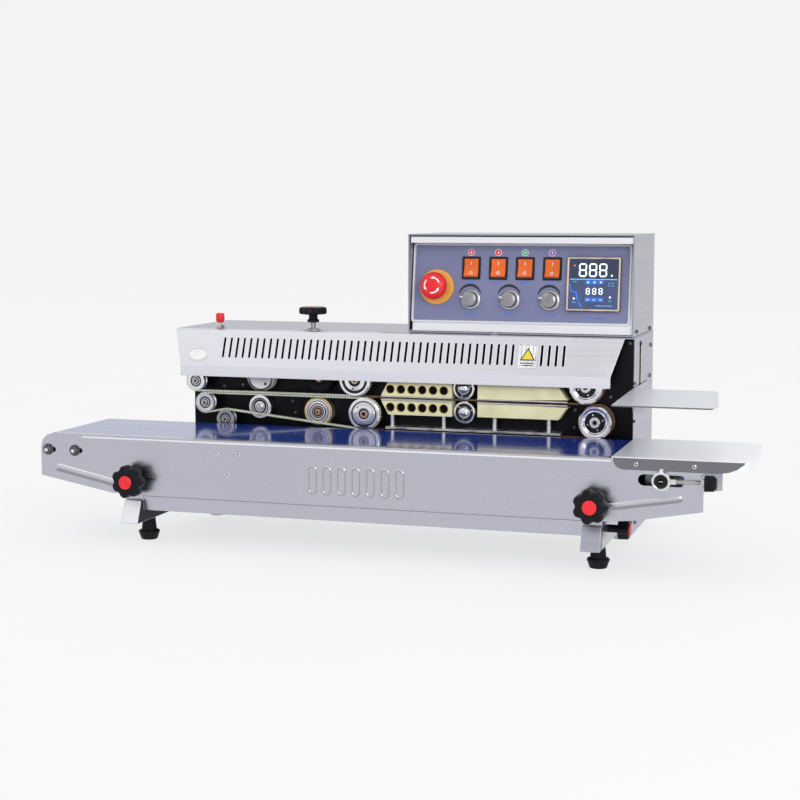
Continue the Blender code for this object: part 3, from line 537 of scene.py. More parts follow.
def add_cross_screw(bm, place, radius, slot=0, recess_slot=1):
    """Pan head screw with a cross recess."""
    add_lathe(bm, [(0, 0), (radius, 0), (radius, radius * 0.18), (radius * 0.86, radius * 0.42),
                   (radius * 0.5, radius * 0.56), (0, radius * 0.6)], place, 24, slot)
    for turn in (0, 90):
        spin = place @ Matrix.Rotation(math.radians(turn + 20), 4, "Z")
        add_box(bm, (-radius * 0.52, radius * 0.52), (-radius * 0.11, radius * 0.11),
                (radius * 0.3, radius * 0.63), spin, recess_slot)


def add_socket_screw(bm, place, radius, slot=0, recess_slot=1):
    """Cap screw with a round socket."""
    add_lathe(bm, [(0, 0), (radius, 0), (radius, radius * 0.7), (radius * 0.88, radius * 0.84),
                   (radius * 0.5, radius * 0.84), (radius * 0.5, radius * 0.45, recess_slot),
                   (0, radius * 0.45, recess_slot)], place, 24, slot)


def make(name, body, paints, build, bevel=0.0, stands_for=()):
    """Build one piece in millimetres and hang it on a CAD body."""
    bm = bmesh.new()
    build(bm)
    bmesh.ops.recalc_face_normals(bm, faces=bm.faces)
    mesh = bpy.data.meshes.new(name)
    bm.to_mesh(mesh)
    bm.free()
    mesh.transform(Matrix.Scale(MM, 4))
    for paint in paints:
        mesh.materials.append(paint)
    mesh.shade_smooth()
    mesh.set_sharp_from_angle(angle=math.radians(32))
    piece = bpy.data.objects.new(name, mesh)
    bpy.context.scene.collection.objects.link(piece)
    if bevel:
        soften(piece, bevel)
    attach(piece, body)
    if stands_for:
        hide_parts(*stands_for)


def refine(node, paints, build, body=None):
    """Show a finer piece instead of a CAD node, on the node's own body unless another is named."""
    make(f"{node}_detail", body or node, paints, build, stands_for=[node])


def soften(piece, width):
    """Round the sharp edges of a piece by a width in millimetres."""
    bevel = piece.modifiers.new("edge_radius", "BEVEL")
    bevel.width = width * MM
    bevel.segments = 2
    bevel.limit_method = "ANGLE"
    bevel.angle_limit = math.radians(40)
    bevel.use_clamp_overlap = True
    bevel.harden_normals = True


def keep(node, paint, bevel=0.0):
    """Give a CAD node its finish, and a small edge radius where asked."""
    piece = NODES[node]
    piece.data.materials.clear()
    piece.data.materials.append(paint)
    if bevel:
        weld = piece.modifiers.new("join_corners", "WELD")
        weld.merge_threshold = 0.00001
        soften(piece, bevel)


# ---------------------------------------------------------------------- stage
def camera():
    """The photograph's view: slightly above, from the right of the middle."""
    data = bpy.data.cameras.new("camera")
    data.sensor_width = 36.0
    data.lens = 73.79
    data.shift_y = -0.0043
    data.clip_start, data.clip_end = 0.05, 40.0
    eye = bpy.data.objects.new("camera", data)
    bpy.context.scene.collection.objects.link(eye)
    eye.location = (0.6524, -2.1321, 0.4427)
    eye.rotation_euler = (math.pi / 2 - 0.112, 0.0, 0.304)
    bpy.context.scene.camera = eye


def studio_light(name, location, target, size, power):
    data = bpy.data.lights.new(name, "AREA")
    data.shape = "RECTANGLE"
    data.size, data.size_y = size
    data.energy = power
    lamp = bpy.data.objects.new(name, data)
    bpy.context.scene.collection.objects.link(lamp)
    lamp.location = location
    aim = Vector(target) - Vector(location)
    lamp.rotation_euler = aim.to_track_quat("-Z", "Y").to_euler()


def backdrop():
    """A pale sweep: floor in front, curving up far behind."""
    bm = bmesh.new()
    bend_start, bend = 4.0, 3.0
    profile = [(-9.0, 0.0), (-3.0, 0.0), (bend_start, 0.0)]
    profile += arc(bend, bend, -80, 0, 10, (bend_start, bend))
    profile += [(bend_start + bend, 12.0)]
    rows = [[bm.verts.new((x, y, z)) for x in (-12.0, -4.0, 4.0, 12.0)] for y, z in profile]
    for first, second in zip(rows, rows[1:]):
        for i in range(len(first) - 1):
            bm.faces.new((first[i], first[i + 1], second[i + 1], second[i]))
    mesh = bpy.data.meshes.new("backdrop")
    bm.to_mesh(mesh)
    bm.free()
    mesh.shade_smooth()
    paint = Paint("pale_sweep", (0.20, 0.20, 0.20), 0.8, Specular_IOR_Level=0.1)
    paint.roughness_from(paint.spread(paint.noise(6.0), 0.75, 0.9))
    paint.set("Emission Color", (1.0, 1.0, 1.0, 1.0))
    paint.set("Emission Strength", 0.725)
    mesh.materials.append(paint.material)
    sweep = bpy.data.objects.new("backdrop", mesh)
    bpy.context.scene.collection.objects.link(sweep)


def world_light():
    """Soft room light, brighter above than below."""
    world = bpy.data.worlds.new("studio")
    bpy.context.scene.world = world
    world.use_nodes = True
    tree = world.node_tree
    background = tree.nodes["Background"]
    place = tree.nodes.new("ShaderNodeTexCoord")
    parts = tree.nodes.new("ShaderNodeSeparateXYZ")
    ramp = tree.nodes.new("ShaderNodeValToRGB")
    tree.links.new(place.outputs["Generated"], parts.inputs["Vector"])
    tree.links.new(parts.outputs["Z"], ramp.inputs["Fac"])
    ramp.color_ramp.elements[0].color = (0.90, 0.90, 0.93, 1)
    ramp.color_ramp.elements[1].color = (1.0, 1.0, 1.0, 1)
    tree.links.new(ramp.outputs["Color"], background.inputs["Color"])
    background.inputs["Strength"].default_value = 0.82


def stage():
    camera()
    backdrop()
    world_light()
    studio_light("key_softbox", (-1.6, -2.2, 2.4), (0, 0, 0.15), (1.8, 1.4), 4)
    studio_light("front_softbox", (1.8, -2.6, 1.4), (0.1, 0, 0.15), (1.6, 1.2), 32)
    studio_light("top_softbox", (0.2, 0.4, 2.6), (0, 0, 0.2), (2.4, 1.6), 5)
    bpy.context.scene.view_settings.view_transform = "Standard"


# --------------------------------------------------------------------- wheels
BACK = -26.0          # a wheel's rear face, measured from its front face
RAISED_BACK = -15.5   # the same for the coding and ink wheels, whose front faces stand farther back
SHAFT_BACK = -46.0
SHAFT = 5.0


def wheel(node, paints, profile, marks, rear=BACK, segments=ROUND):
    """Wheel turned from its front profile, closed with its rim, rear face and shaft, and marked in front."""
    centre = middle(node)
    place = at_front(centre.x, low(node).y, centre.z)
    closing = [(profile[-1][0], rear), (SHAFT, rear), (SHAFT, SHAFT_BACK), (0, SHAFT_BACK)]

    def build(bm):
        add_lathe(bm, profile + closing, place, segments)
        marks(bm, place)

    refine(node, paints, build)


def hole_ring(count, ring_radius, hole_radius, height, dark):
    """Ring of small holes, which shows that the wheel turns."""
    def marks(bm, place):
        for i in range(count):
            a = 2 * math.pi * i / count + 0.3
            spot = place @ on_top(ring_radius * math.cos(a), ring_radius * math.sin(a), 0)
            add_lathe(bm, [(0, height - 0.4), (hole_radius, height - 0.4), (hole_radius, height + SURFACE),
                           (0, height + SURFACE)], spot, 16, dark)
    return marks


def hub_screw(radius):
    def marks(bm, place):
        add_socket_screw(bm, place, radius, 2)
    return marks


def band_wheels():
    """The two pairs of wheels that carry the sealing bands."""
    paints = [chromed, bezel_plastic, copper, silver_white]
    groove, ledge = -9.6, -0.9
    out_rim = [(21.4, 0.0, 0), (22.2, -0.5, 0), (22.2, ledge, 0), (20.3, ledge, 0), (20.3, groove, 0),
               (22.0, groove, 0)]
    lower_face = [(0, -2.4, 1), (2.6, -2.4, 1), (2.8, 0.2, 2), (5.4, 0.2, 2), (6.0, -0.6, 2),
                  (6.2, -1.6, 1), (7.2, -1.6, 1), (7.6, 0.0, 3), (9.2, 0.2, 3), (16.4, -0.9, 0),
                  (17.0, -2.0, 1), (17.7, -2.0, 1), (18.2, 0.0, 0)]
    upper_face = [(0, -2.4, 1), (2.4, -2.4, 1), (2.6, 0.0, 2), (5.0, 0.0, 2), (5.4, -1.4, 1),
                  (8.6, -1.4, 1), (9.0, -0.3, 3), (14.6, -0.8, 0), (15.2, -2.2, 1), (18.0, -2.2, 1),
                  (18.5, 0.0, 0)]
    wheel("outfeed_wheel_lower", paints, lower_face + out_rim, hole_ring(3, 12.6, 1.2, -0.35, 1))
    wheel("outfeed_wheel_upper", paints, upper_face + out_rim, hole_ring(3, 11.8, 1.2, -0.5, 1))
    in_face = [(0, -2.0, 1), (2.9, -2.0, 1), (3.2, 0.6, 3), (6.4, 0.6, 3), (7.2, 0.0, 0),
               (7.4, -2.6, 1), (13.6, -2.6, 1), (13.9, -0.4, 0), (15.0, 0.0, 0), (16.2, -0.7, 0),
               (17.4, 0.0, 0), (20.6, 0.0, 0), (22.4, -1.6, 0), (22.4, groove, 0), (22.0, groove, 0)]
    for node in ("infeed_wheel_lower", "infeed_wheel_upper"):
        wheel(node, paints, in_face, hole_ring(4, 10.5, 1.0, -2.6, 0))


def idlers():
    """Small pulleys of the guide belts."""
    groove = [(13.6, -0.9, 0), (12.5, -0.9, 0), (12.5, -9.6, 0), (13.6, -9.6, 0)]
    face = [(0, -1.6, 1), (4.6, -1.6, 1), (4.9, -0.4, 2), (6.4, -0.4, 2), (6.6, -1.9, 1),
            (8.0, -1.9, 1), (8.3, -0.2, 0), (9.4, 0.0, 0), (13.0, 0.0, 0)]

    def screw(bm, place):
        seat = place @ on_top(0, 0, -1.6)
        add_socket_screw(bm, seat, 3.9, 2)
        add_box(bm, (0.6, 3.4), (-0.35, 0.35), (1.6, 1.75), seat, 1)

    for node, rim in (("guide_idler_upper", chromed), ("guide_idler_lower", silver_white),
                      ("guide_tension_idler", turned)):
        wheel(node, [rim, bezel_plastic, zinc], face + groove, screw, -11.0, 48)


def coding_wheels():
    """Printing wheels: the code carrier above, its backing wheel below."""
    def print_marks(bm, place):
        add_lathe(bm, [(0, 0), (2.0, 0), (2.0, 0.4), (0, 0.4)], place @ on_top(7.5, -9.5, 0), 20, 1)
        mark = arc(11.0, 11.0, 70, 170, 10) + arc(6.8, 6.8, 170, 70, -10)
        add_prism(bm, mark, 0.0, 0.5, place, 3)
        add_socket_screw(bm, place, 3.4, 2)

    def hub_bolt(bm, place):
        add_hex_bolt(bm, place, 4.6, 2)

    wheel("coding_wheel_upper", [white_print, bezel_plastic, zinc, red_plastic, turned],
          [(0, 0, 0), (16.2, 0, 0), (16.8, -0.6, 0), (17.0, -2.0, 1), (18.4, -2.0, 1),
           (18.8, -0.8, 4), (20.3, -1.2, 4)], print_marks, RAISED_BACK)

    wheel("coding_wheel_lower", [chromed, bezel_plastic, zinc, turned],
          [(0, 0.0, 0), (7.4, 0.0, 0), (7.8, -2.6, 1), (9.4, -2.6, 1), (9.8, -0.2, 3), (11.4, 0.0, 3),
           (11.6, -1.8, 1), (12.4, -1.8, 1), (12.8, 0.3, 0), (16.2, 0.3, 0), (17.0, -0.8, 0)],
          hub_bolt, RAISED_BACK)


def ink_wheels():
    """Soft ink roll above and its backing wheel below."""
    wheel("ink_wheel_upper", [rubber, bezel_plastic, copper, turned],
          [(0, 0, 2), (4.6, 0, 2), (5.2, -0.8, 2), (5.6, -1.6, 1), (7.0, -1.6, 1), (7.4, -0.4, 0),
           (11.8, -0.4, 0), (12.0, -1.4, 1), (12.8, -1.4, 1), (13.2, -0.4, 0), (18.4, -0.6, 0),
           (20.5, -2.6, 0)], hub_screw(3.2), RAISED_BACK)
    wheel("ink_wheel_lower", [silver_white, bezel_plastic, copper, brass, chromed],
          [(0, 0.2, 2), (4.4, 0.2, 2), (4.8, -1.6, 1), (6.0, -1.6, 1), (6.3, 0.0, 2), (7.6, 0.0, 2),
           (7.9, -1.6, 1), (8.8, -1.6, 1), (9.1, 0.2, 0), (11.0, 0.2, 0), (11.3, -1.4, 1),
           (12.2, -1.4, 1), (12.5, 0.0, 4), (14.8, 0.0, 4), (15.1, -1.0, 1), (15.7, -1.0, 1),
           (16.0, -0.2, 0), (18.2, -0.4, 0), (18.6, -1.4, 3), (20.5, -1.8, 3)],
          hub_screw(3.2), RAISED_BACK)


def press_rollers():
    profile = [(0, 1.0, 0), (2.6, 0.8, 0), (5.0, 0.0, 0), (7.0, -1.4, 0), (8.8, -4.0, 0), (9.0, -5.2, 1),
               (12.0, -5.2, 1), (12.4, -4.4, 2), (14.4, -4.6, 2), (15.0, -5.2, 2)]
    for node in ("press_roller_upper", "press_roller_lower"):
        wheel(node, [chromed, bezel_plastic, chromed], profile, hole_ring(3, 10.5, 0.8, -5.2, 2), -25.0, 48)


# ---------------------------------------------------------------------- belts
def tangent(start, end):
    """Straight run between two pulleys given as (centre, radius, turn)."""
    (c1, r1, s1), (c2, r2, s2) = start, end
    span = Vector(c2) - Vector(c1)
    along = span.normalized()
    left = Vector((-along.y, along.x))
    k = (s2 * r2 - s1 * r1) / span.length
    normal = along * k + left * math.sqrt(1 - k * k)
    return Vector(c1) - normal * (s1 * r1), Vector(c2) - normal * (s2 * r2)


def centre_line(pulleys, step):
    """Evenly spaced points round a belt, each with its outward normal."""
    runs = [tangent(a, b) for a, b in zip(pulleys, pulleys[1:] + pulleys[:1])]
    path = []
    for index, (centre, radius, turn) in enumerate(pulleys):
        arrive = runs[index - 1][1] - Vector(centre)
        leave = runs[index][0] - Vector(centre)
        first = math.atan2(arrive.y, arrive.x)
        sweep = (math.atan2(leave.y, leave.x) - first) * turn % (2 * math.pi)
        count = max(2, math.ceil(sweep / math.radians(4)))
        for i in range(count + 1):
            angle = first + turn * sweep * i / count
            path.append(Vector((centre[0] + radius * math.cos(angle),
                                centre[1] + radius * math.sin(angle))))
    lengths = [0.0]
    for a, b in zip(path, path[1:] + path[:1]):
        lengths.append(lengths[-1] + (b - a).length)
    total = lengths[-1]
    count = int(round(total / step / 4)) * 4
    points, index = [], 0
    for i in range(count):
        distance = total * i / count
        while lengths[index + 1] < distance:
            index += 1
        a, b = path[index], path[(index + 1) % len(path)]
        share = (distance - lengths[index]) / max(1e-9, lengths[index + 1] - lengths[index])
        points.append(a.lerp(b, share))
    result = []
    for i, point in enumerate(points):
        along = points[(i + 1) % count] - points[i - 1]
        result.append((point, Vector((along.y, -along.x)).normalized()))
    return result


def toothed_belt(node, pulleys, thickness=2.5, tooth=1.0):
    """Guide belt with fine teeth on both faces."""
    front, rear = low(node).y, high(node).y
    clearance, step = 0.3, 1.0
    path = centre_line([(centre, radius + clearance + thickness / 2, turn)
                        for centre, radius, turn in pulleys], step)

    def build(bm):
        rings = []
        for side, y in ((1, front), (1, rear), (-1, rear), (-1, front)):
            ring = []
            for i, (point, normal) in enumerate(path):
                depth = thickness / 2 - (tooth if i % 4 > 1 else 0.0)
                spot = point + normal * (side * depth)
                ring.append(bm.verts.new((spot.x, y, spot.y)))
            rings.append(ring)
        for i, ring in enumerate(rings):
            bridge(bm, ring, rings[(i + 1) % len(rings)], 0)

    refine(node, [guide_rubber], build, "head")


def pulley(node, radius, turn=1):
    centre = middle(node)
    return (centre.x, centre.z), radius, turn


def guide_belts():
    """Toothed guide belts round their wheels and idlers, and the finish of the sealing bands."""
    wheel_groove, idler_groove = 20.3, 12.5
    toothed_belt("guide_belt_upper", [pulley("outfeed_wheel_upper", wheel_groove),
                                      pulley("guide_idler_upper", idler_groove)])
    toothed_belt("guide_belt_lower", [pulley("outfeed_wheel_lower", wheel_groove),
                                      pulley("guide_idler_lower", idler_groove),
                                      pulley("guide_tension_idler", idler_groove, -1)])
    for node in ("seal_band_upper", "seal_band_lower"):
        keep(node, band_cloth)


# ------------------------------------------------------------------ sheet CAD
FINISHES = (   # paint, edge radius in millimetres, and the CAD nodes that keep their own shape
    (rail_steel, 0.4, ("conveyor_front_rail", "conveyor_rear_rail", "slider_bed", "conveyor_stand")),
    (table_steel, 0.5, ("infeed_table",)),
    (guard_steel, 0.35, ("front_guard",)),
    (plain_steel, 0.4, ("top_plate",)),
    (side_steel, 0.4, ("housing",)),
    (side_steel, 0.5, ("control_box",)),
    (satin_and_highlight_metal, 0.3, ("control_panel",)),
    (plate_paint, 0.4, ("base_plate",)),
    (silver_white, 0.2, ("block_support",)),
    (zinc, 0.2, ("block_hanger",)),
    (motor_paint, 0.6, ("main_gearmotor",)),
    (motor_paint, 0.4, ("conveyor_gearmotor",)),
    (black_plastic, 0.6, ("cooling_fan_frame",)),
    (black_plastic, 0.5, ("power_inlet",)),
    (bezel_plastic, 0.6, ("temperature_controller",)),
    (blue_belt, 0.0, ("conveyor_belt",)),
    (blackened, 0.0, ("drive_roller", "tension_roller")),
    (cream_metal, 0.4, ("cooling_block_upper", "cooling_block_lower", "heating_block_upper",
                        "heating_block_lower")),
)


def kept_nodes():
    for paint, radius, nodes in FINISHES:
        for node in nodes:
            keep(node, paint, radius)


# ------------------------------------------------------------------- conveyor
def rail_front_y():
    """Front face of the rail's sheet, behind the take-up bracket's ear."""
    return low("slider_bed").y - 2.3


def rail_bolts():
    """Two hex bolts in short slots, which hold the drive roller's bearing at the left end."""
    z = middle("drive_roller").z - 2.4
    rail_end = low("conveyor_front_rail").x
    travel = 8.0

    def build(bm):
        for inwards in (11, 51):
            place = at_front(rail_end + inwards, rail_front_y(), z)
            # Each slot is a dark patch on the rail: painted shade.
            add_prism(bm, rounded(travel + 7, 7.0, 3.4, (travel / 2, 0)), -0.2, SURFACE, place)
            add_hex_bolt(bm, place, 6.2, 1)
            add_lathe(bm, [(0, 5.0), (2.8, 5.0), (2.5, 6.6), (0, 7.0)], place, 20, 2)

    make("drive_roller_bolts", "conveyor", [painted_recess_shade, blackened, chromed], build)


def bead_outline(start, end, width):
    """Straight bead with half-round ends."""
    start, end = Vector(start), Vector(end)
    along = (end - start).normalized()
    across = Vector((-along.y, along.x)) * (width / 2)
    points = []
    for centre, sign in ((end, 1), (start, -1)):
        for a in range(-90, 91, 18):
            turn = math.radians(a)
            points.append(tuple(centre + along * (sign * math.cos(turn) * width / 2)
                                + across * (sign * math.sin(turn))))
    return points


def add_bead(bm, start, end, width, rise, place):
    """Pressed stiffening rib with soft sides."""
    outline = bead_outline(start, end, width)
    sections = [(inset(outline, share * width), height * rise)
                for share, height in ((0.0, -0.1), (0.12, 0.45), (0.28, 0.85), (0.44, 1.0))]
    for faces in add_loft(bm, add_sections(bm, sections, place)):
        paint_relief_light_and_shade(faces)


def rail_beads():
    left, right = low("conveyor_front_rail").x, high("conveyor_front_rail").x
    place = at_front(0, rail_front_y(), 0)

    def build(bm):
        add_bead(bm, (left + 26, 99.4), (left + 117, 80.7), 11.0, 1.7, place)
        add_bead(bm, (right - 117, 84.9), (right - 29, 99.5), 9.5, 1.7, place)

    # The lit and shaded steels paint highlight and shade on the beads' sloping sides.
    make("rail_stiffening_beads", "conveyor", [rail_steel, lit_steel, shaded_steel], build)


def rail_emblem():
    """Row of plain embossed loops in the middle of the rail, with no lettering."""
    place = at_front(-21.5, rail_front_y(), 100)
    count, pitch, width, height = 7, 19.6, 13.0, 38.0
    steps = ((0.0, -0.1), (0.5, 0.5), (1.1, 0.8), (1.9, 0.8), (2.5, 0.5), (3.0, -0.1))

    def build(bm):
        for i in range(count):
            outline = rounded(width, height, 6.4, (pitch * (i - count // 2), 0), steps=8)
            sides = add_band(bm, [(inset(outline, step), rise) for step, rise in steps], place)
            for faces in sides[:-1]:
                paint_relief_light_and_shade(faces)

    # The lit and shaded steels paint highlight and shade on the loops' sloping sides.
    make("rail_embossing", "conveyor", [rail_steel, lit_steel, shaded_steel], build)


def rail_lip():
    """Rolled edge along the top of the rail, in a brighter metal than the rail: a painted highlight."""
    radius = 1.5
    y, z = rail_front_y() + 1.0, high("slider_bed").z - radius

    def build(bm):
        add_rod(bm, (low("conveyor_front_rail").x + 62, y, z), (low("infeed_table").x - 1.0, y, z), radius)

    make("rail_top_edge", "conveyor", [satin_and_highlight_metal], build)


def rail_screws():
    """Domed screws in front of the conveyor's gearmotor and cap screws by the tension roller."""
    y = rail_front_y()
    motor, roller = middle("conveyor_gearmotor"), middle("tension_roller")
    # The dark dot in each dome's top is painted shade in its recess.
    dome = [(0, 0), (3.5, 0), (3.4, 0.8), (2.6, 1.8), (1.1, 2.3), (1.1, 2.0, 1), (0, 2.0, 1)]

    def build(bm):
        for dx, dz in ((-16, 6.6), (15, 6.6), (0, -20.5)):
            add_lathe(bm, dome, at_front(motor.x + dx, y, motor.z + dz), 24)
        for dx, dz in ((0, 17.5), (21.6, 0)):
            add_socket_screw(bm, at_front(roller.x + dx, y, roller.z + dz), 2.3)

    make("rail_screws", "conveyor", [chromed, painted_recess_shade], build)


def table_skirt():
    """Folded front edge of the infeed table, with its cut-back ends, in a darker steel than the top: painted
    shade.
    """
    table_low, table_high = low("infeed_table"), high("infeed_table")
    top, bottom = table_high.z - 1.2, table_high.z - 15.4
    left, right = table_low.x + 1.0, table_high.x - 24.0
    outline = [(left + 12, bottom), (right - 14, bottom), (right - 2, bottom + 1.6),
               (right + 8, bottom + 5.6), (right + 16, top - 2.4), (right + 18, top), (left, top),
               (left + 2.0, bottom + 7.0), (left + 6.0, bottom + 2.4)]

    def build(bm):
        add_prism(bm, outline, -0.2, 0.3, at_front(0, table_low.y, 0), chamfer=0.1)

    make("table_front_fold", "conveyor", [painted_shade_steel], build)


def table_screws():
    corner = low("infeed_table")
    z = high("infeed_table").z - 8.2

    def build(bm):
        for dx in (30, 100):
            add_cross_screw(bm, at_front(corner.x + dx, corner.y - 0.3, z), 3.2)

    make("table_screws", "conveyor", [zinc, painted_recess_shade], build)


def take_up_details():
    """Bearing collar with its boss and stud, the roller's shaft end, and the threaded hand screw."""
    roller = middle("tension_roller")
    place = at_front(roller.x, low("take_up_block").y, roller.z)

    def collar(bm):
        add_lathe(bm, [(5.6, -8.3), (5.6, -1.4, 1), (8.4, -1.2, 1), (8.7, -0.3), (9.2, 0.0), (10.9, 0.0),
                       (11.6, -0.8), (11.6, -8.5), (5.6, -8.5)], place, ROUND)
        add_rod(bm, place @ Vector((10.6, 0, -4.6)), place @ Vector((18.0, 0, -4.6)), 3.6)
        add_lathe(bm, [(0, 0), (3.0, 0), (3.0, 3.4), (2.2, 4.6), (0, 5.0)],
                  place @ on_top(0, 11.0, -4.4) @ turned_about("X", -90), 20)

    make("take_up_collar", "take_up", [chromed, bezel_plastic], collar,
         stands_for=["take_up_block"])

    def hub(bm):
        add_lathe(bm, [(0, -1.0, 1), (3.6, -1.0, 1), (4.0, -0.2), (5.0, -0.2), (5.2, -1.0), (5.2, -7.0),
                       (0, -7.0)], place)
        add_box(bm, (-2.6, 2.6), (-0.4, 0.4), (-1.1, -0.6), place, 2)

    make("tension_shaft_end", "tension_roller", [bezel_plastic, painted_recess_shade, zinc], hub)

    tip, end, axis = low("take_up_screw").x, high("take_up_screw"), middle("take_up_screw")
    radius = end.z - axis.z
    head_x = end.x - 15.0

    def screw(bm):
        add_thread(bm, (tip, axis.y, axis.z), (head_x, axis.y, axis.z), 2.4, 0.8, 1)
        turn = at_right(head_x, axis.y, axis.z)
        add_lathe(bm, [(0, -3.4), (5.2, -3.4), (5.6, -2.9), (5.6, 0.2), (0, 0.2)], turn, FINE, 1)
        add_prism(bm, teeth_outline(radius, 26, 0.7), 0.0, 11.5, turn, chamfer=0.8)
        add_lathe(bm, [(0, 11.4), (radius * 0.8, 11.4), (radius * 0.78, 14.0), (radius * 0.5, 14.8),
                       (0, 15.0)], turn)

    make("take_up_hand_screw", "take_up_screw", [black_plastic, zinc], screw,
         stands_for=["take_up_screw"])


def add_hand_knob(bm, outline, steps, place):
    """Lobed knob whose rounded faces shrink the outline by a share at each height."""
    add_loft(bm, add_sections(bm, [(scaled(outline, 1.0 - share), height) for share, height in steps], place))


def clamp_knobs():
    """Lobed hand knobs with a red cap, which clamp the conveyor at its height."""
    for node in ("clamp_knob_left", "clamp_knob_right"):
        centre, front, back = middle(node), low(node).y, high(node).y
        place = at_front(centre.x, front, centre.z)
        seat = front - rail_front_y()

        def build(bm):
            add_hand_knob(bm, lobed(22.0), ((0.30, -19.0), (0.06, -18.0), (0.0, -15.5), (0.0, -4.0),
                                            (0.07, -1.4), (0.20, -0.2), (0.34, 0.0)), place)
            add_lathe(bm, [(0, -0.4), (10.8, -0.4), (10.8, 0.5), (9.6, 0.5), (9.4, 0.1), (0, 0.1)], place)
            add_lathe(bm, [(0, -0.2), (9.0, -0.2), (9.0, 0.9), (8.2, 1.5), (0, 1.9)], place, FINE, 1)
            add_lathe(bm, [(0, seat + 0.2), (11.0, seat + 0.2), (11.0, -24.8), (9.0, -24.2), (7.8, -18.8),
                           (0, -18.8)], place)
            add_rod(bm, (centre.x, rail_front_y(), centre.z), (centre.x, back, centre.z), 3.8, 20, 2)

        refine(node, [black_plastic, red_plastic, zinc], build)


def side_knob():
    """Small hand knob on the right leg, pointing along the conveyor."""
    foot = middle("foot_right")
    place = at_right(foot.x + 18.0, foot.y + 8.0, 49.0)

    def build(bm):
        add_rod(bm, place @ Vector((0, 0, -10.0)), place @ Vector((0, 0, 8.0)), 5.0)
        add_prism(bm, lobed(13.2, 6, 0.14, 72), 6.0, 19.5, place, chamfer=1.4)
        add_lathe(bm, [(0, 19.0), (8.2, 19.0), (8.0, 21.0), (0, 21.8)], place, FINE, 1)

    make("leg_hand_knob", "head", [black_plastic, red_plastic], build)


FEET = ("foot_left", "foot_right")


def feet():
    """Rubber feet under the stand's legs, with a stepped neck."""
    for node in FEET:
        centre, top = middle(node), high(node).z - 0.1

        def build(bm):
            add_lathe(bm, [(0, 0), (10.4, 0), (11.2, 0.8), (13.5, 8.0), (14.2, 9.2), (14.4, 10.4),
                           (13.9, 11.8), (12.4, 12.6), (10.6, 13.0), (10.2, 14.2), (8.8, 27.0),
                           (8.8, top), (0, top)], on_top(centre.x, centre.y, 0), 48)

        refine(node, [rubber], build, "head")


def stand_details():
    """Two cap screws in the front of each leg."""
    y = low("conveyor_stand").y + 8.6

    def build(bm):
        for node in FEET:
            for dx in (-5.0, 5.0):
                add_socket_screw(bm, at_front(middle(node).x + dx, y, 39.0), 2.4)

    make("stand_screws", "head", [zinc, painted_recess_shade], build)


def leg_painted_light_faces():
    """Thin faces of the two legs: a painted highlight on the front at the left, painted shade on the front at the
    right and on the dark right sides.
    """
    stand, stand_end = low("conveyor_stand"), high("conveyor_stand")
    width, slope, rise = 24.0, 12.0, 30.0
    beam_start, beam_top, arm_end = slope + 7.0, 15.4, stand_end.y - stand.y - 1.0
    bottom, top = 0.6, rise - 0.5
    lean, length = math.atan2(slope, rise), math.hypot(slope, rise)
    front = rounded(width - 1.2, length - 1.4, 1.6, (0, length / 2))
    arm = [(0.7, bottom), (arm_end, bottom), (arm_end, beam_top), (beam_start - 0.5, beam_top),
           (beam_start - 0.5, top), (slope + 0.2, top)]
    stub = [(0.7, bottom), (beam_start, bottom), (beam_start, top), (slope + 0.2, top)]

    def build(bm):
        for x, slot in ((stand.x, 0), (stand_end.x - width, 1)):
            face = (on_top(x + width / 2, stand.y, stand.z) @ Matrix.Rotation(-lean, 4, "X")
                    @ turned_about("X", 90))
            add_prism(bm, front, -0.2, 0.25, face, slot, chamfer=0.15)
        add_prism(bm, arm, -0.2, 0.2, at_right(stand.x + width, stand.y, stand.z), 2)
        add_prism(bm, stub, -0.2, 0.2, at_right(stand_end.x, stand.y, stand.z), 3)

    make("leg_painted_light_faces", "head", [satin_and_highlight_metal, plain_steel, black_plastic, painted_shade_steel], build)


def rail_ends():
    """Bearing cap of the drive roller on the conveyor's rear rail."""
    roller, y, radius = middle("drive_roller"), high("conveyor_rear_rail").y, 9.0

    def build(bm):
        add_lathe(bm, [(0, 0), (radius, 0), (radius, 2.0), (radius - 1, 3.0), (0, 3.0)],
                  at_back(roller.x, y, roller.z))

    make("rear_bearing_cap", "conveyor", [zinc], build)


def conveyor():
    rail_bolts()
    rail_beads()
    rail_emblem()
    rail_lip()
    table_skirt()
    rail_screws()
    table_screws()
    take_up_details()
    clamp_knobs()
    side_knob()
    feet()
    stand_details()
    leg_painted_light_faces()
    rail_ends()


# ----------------------------------------------------------------------- head
def plate_screws():
    """Screw heads on the black base plate."""
    y = low("base_plate").y

    def build(bm):
        for x, z in ((294, 269.5), (269, 197), (221, 178), (220, 154), (-291, 194), (-262, 197),
                     (-182, 160), (-186, 176), (-330, 264), (-330, 30), (290, 30), (-120, 40)):
            add_hex_bolt(bm, at_front(x, y, z), 2.4, washer=0.0)

    make("base_plate_screws", "head", [blackened], build)


def seal_height():
    """World height of the plane where the sealing bands meet."""
    return (low("seal_band_upper").z + high("seal_band_lower").z) / 2


def block_details():
    """Steel jaw strips between the cream blocks."""
    heater, heater_end = low("heating_block_upper"), high("heating_block_upper")
    cooler, cooler_end = low("cooling_block_upper"), high("cooling_block_upper")
    spans = ((cooler.x - 0.5, cooler_end.x + 0.3), (heater.x - 0.3, heater_end.x - 1))
    seal, near, far = seal_height(), 1.35, 3.4

    def build(bm):
        for heights in ((seal + near, seal + far), (seal - far, seal - near)):
            for x in spans:
                add_box(bm, x, (heater.y - 1.4, heater.y + 1.0), heights)

    make("jaw_strips", "head", [turned], build, bevel=0.3)


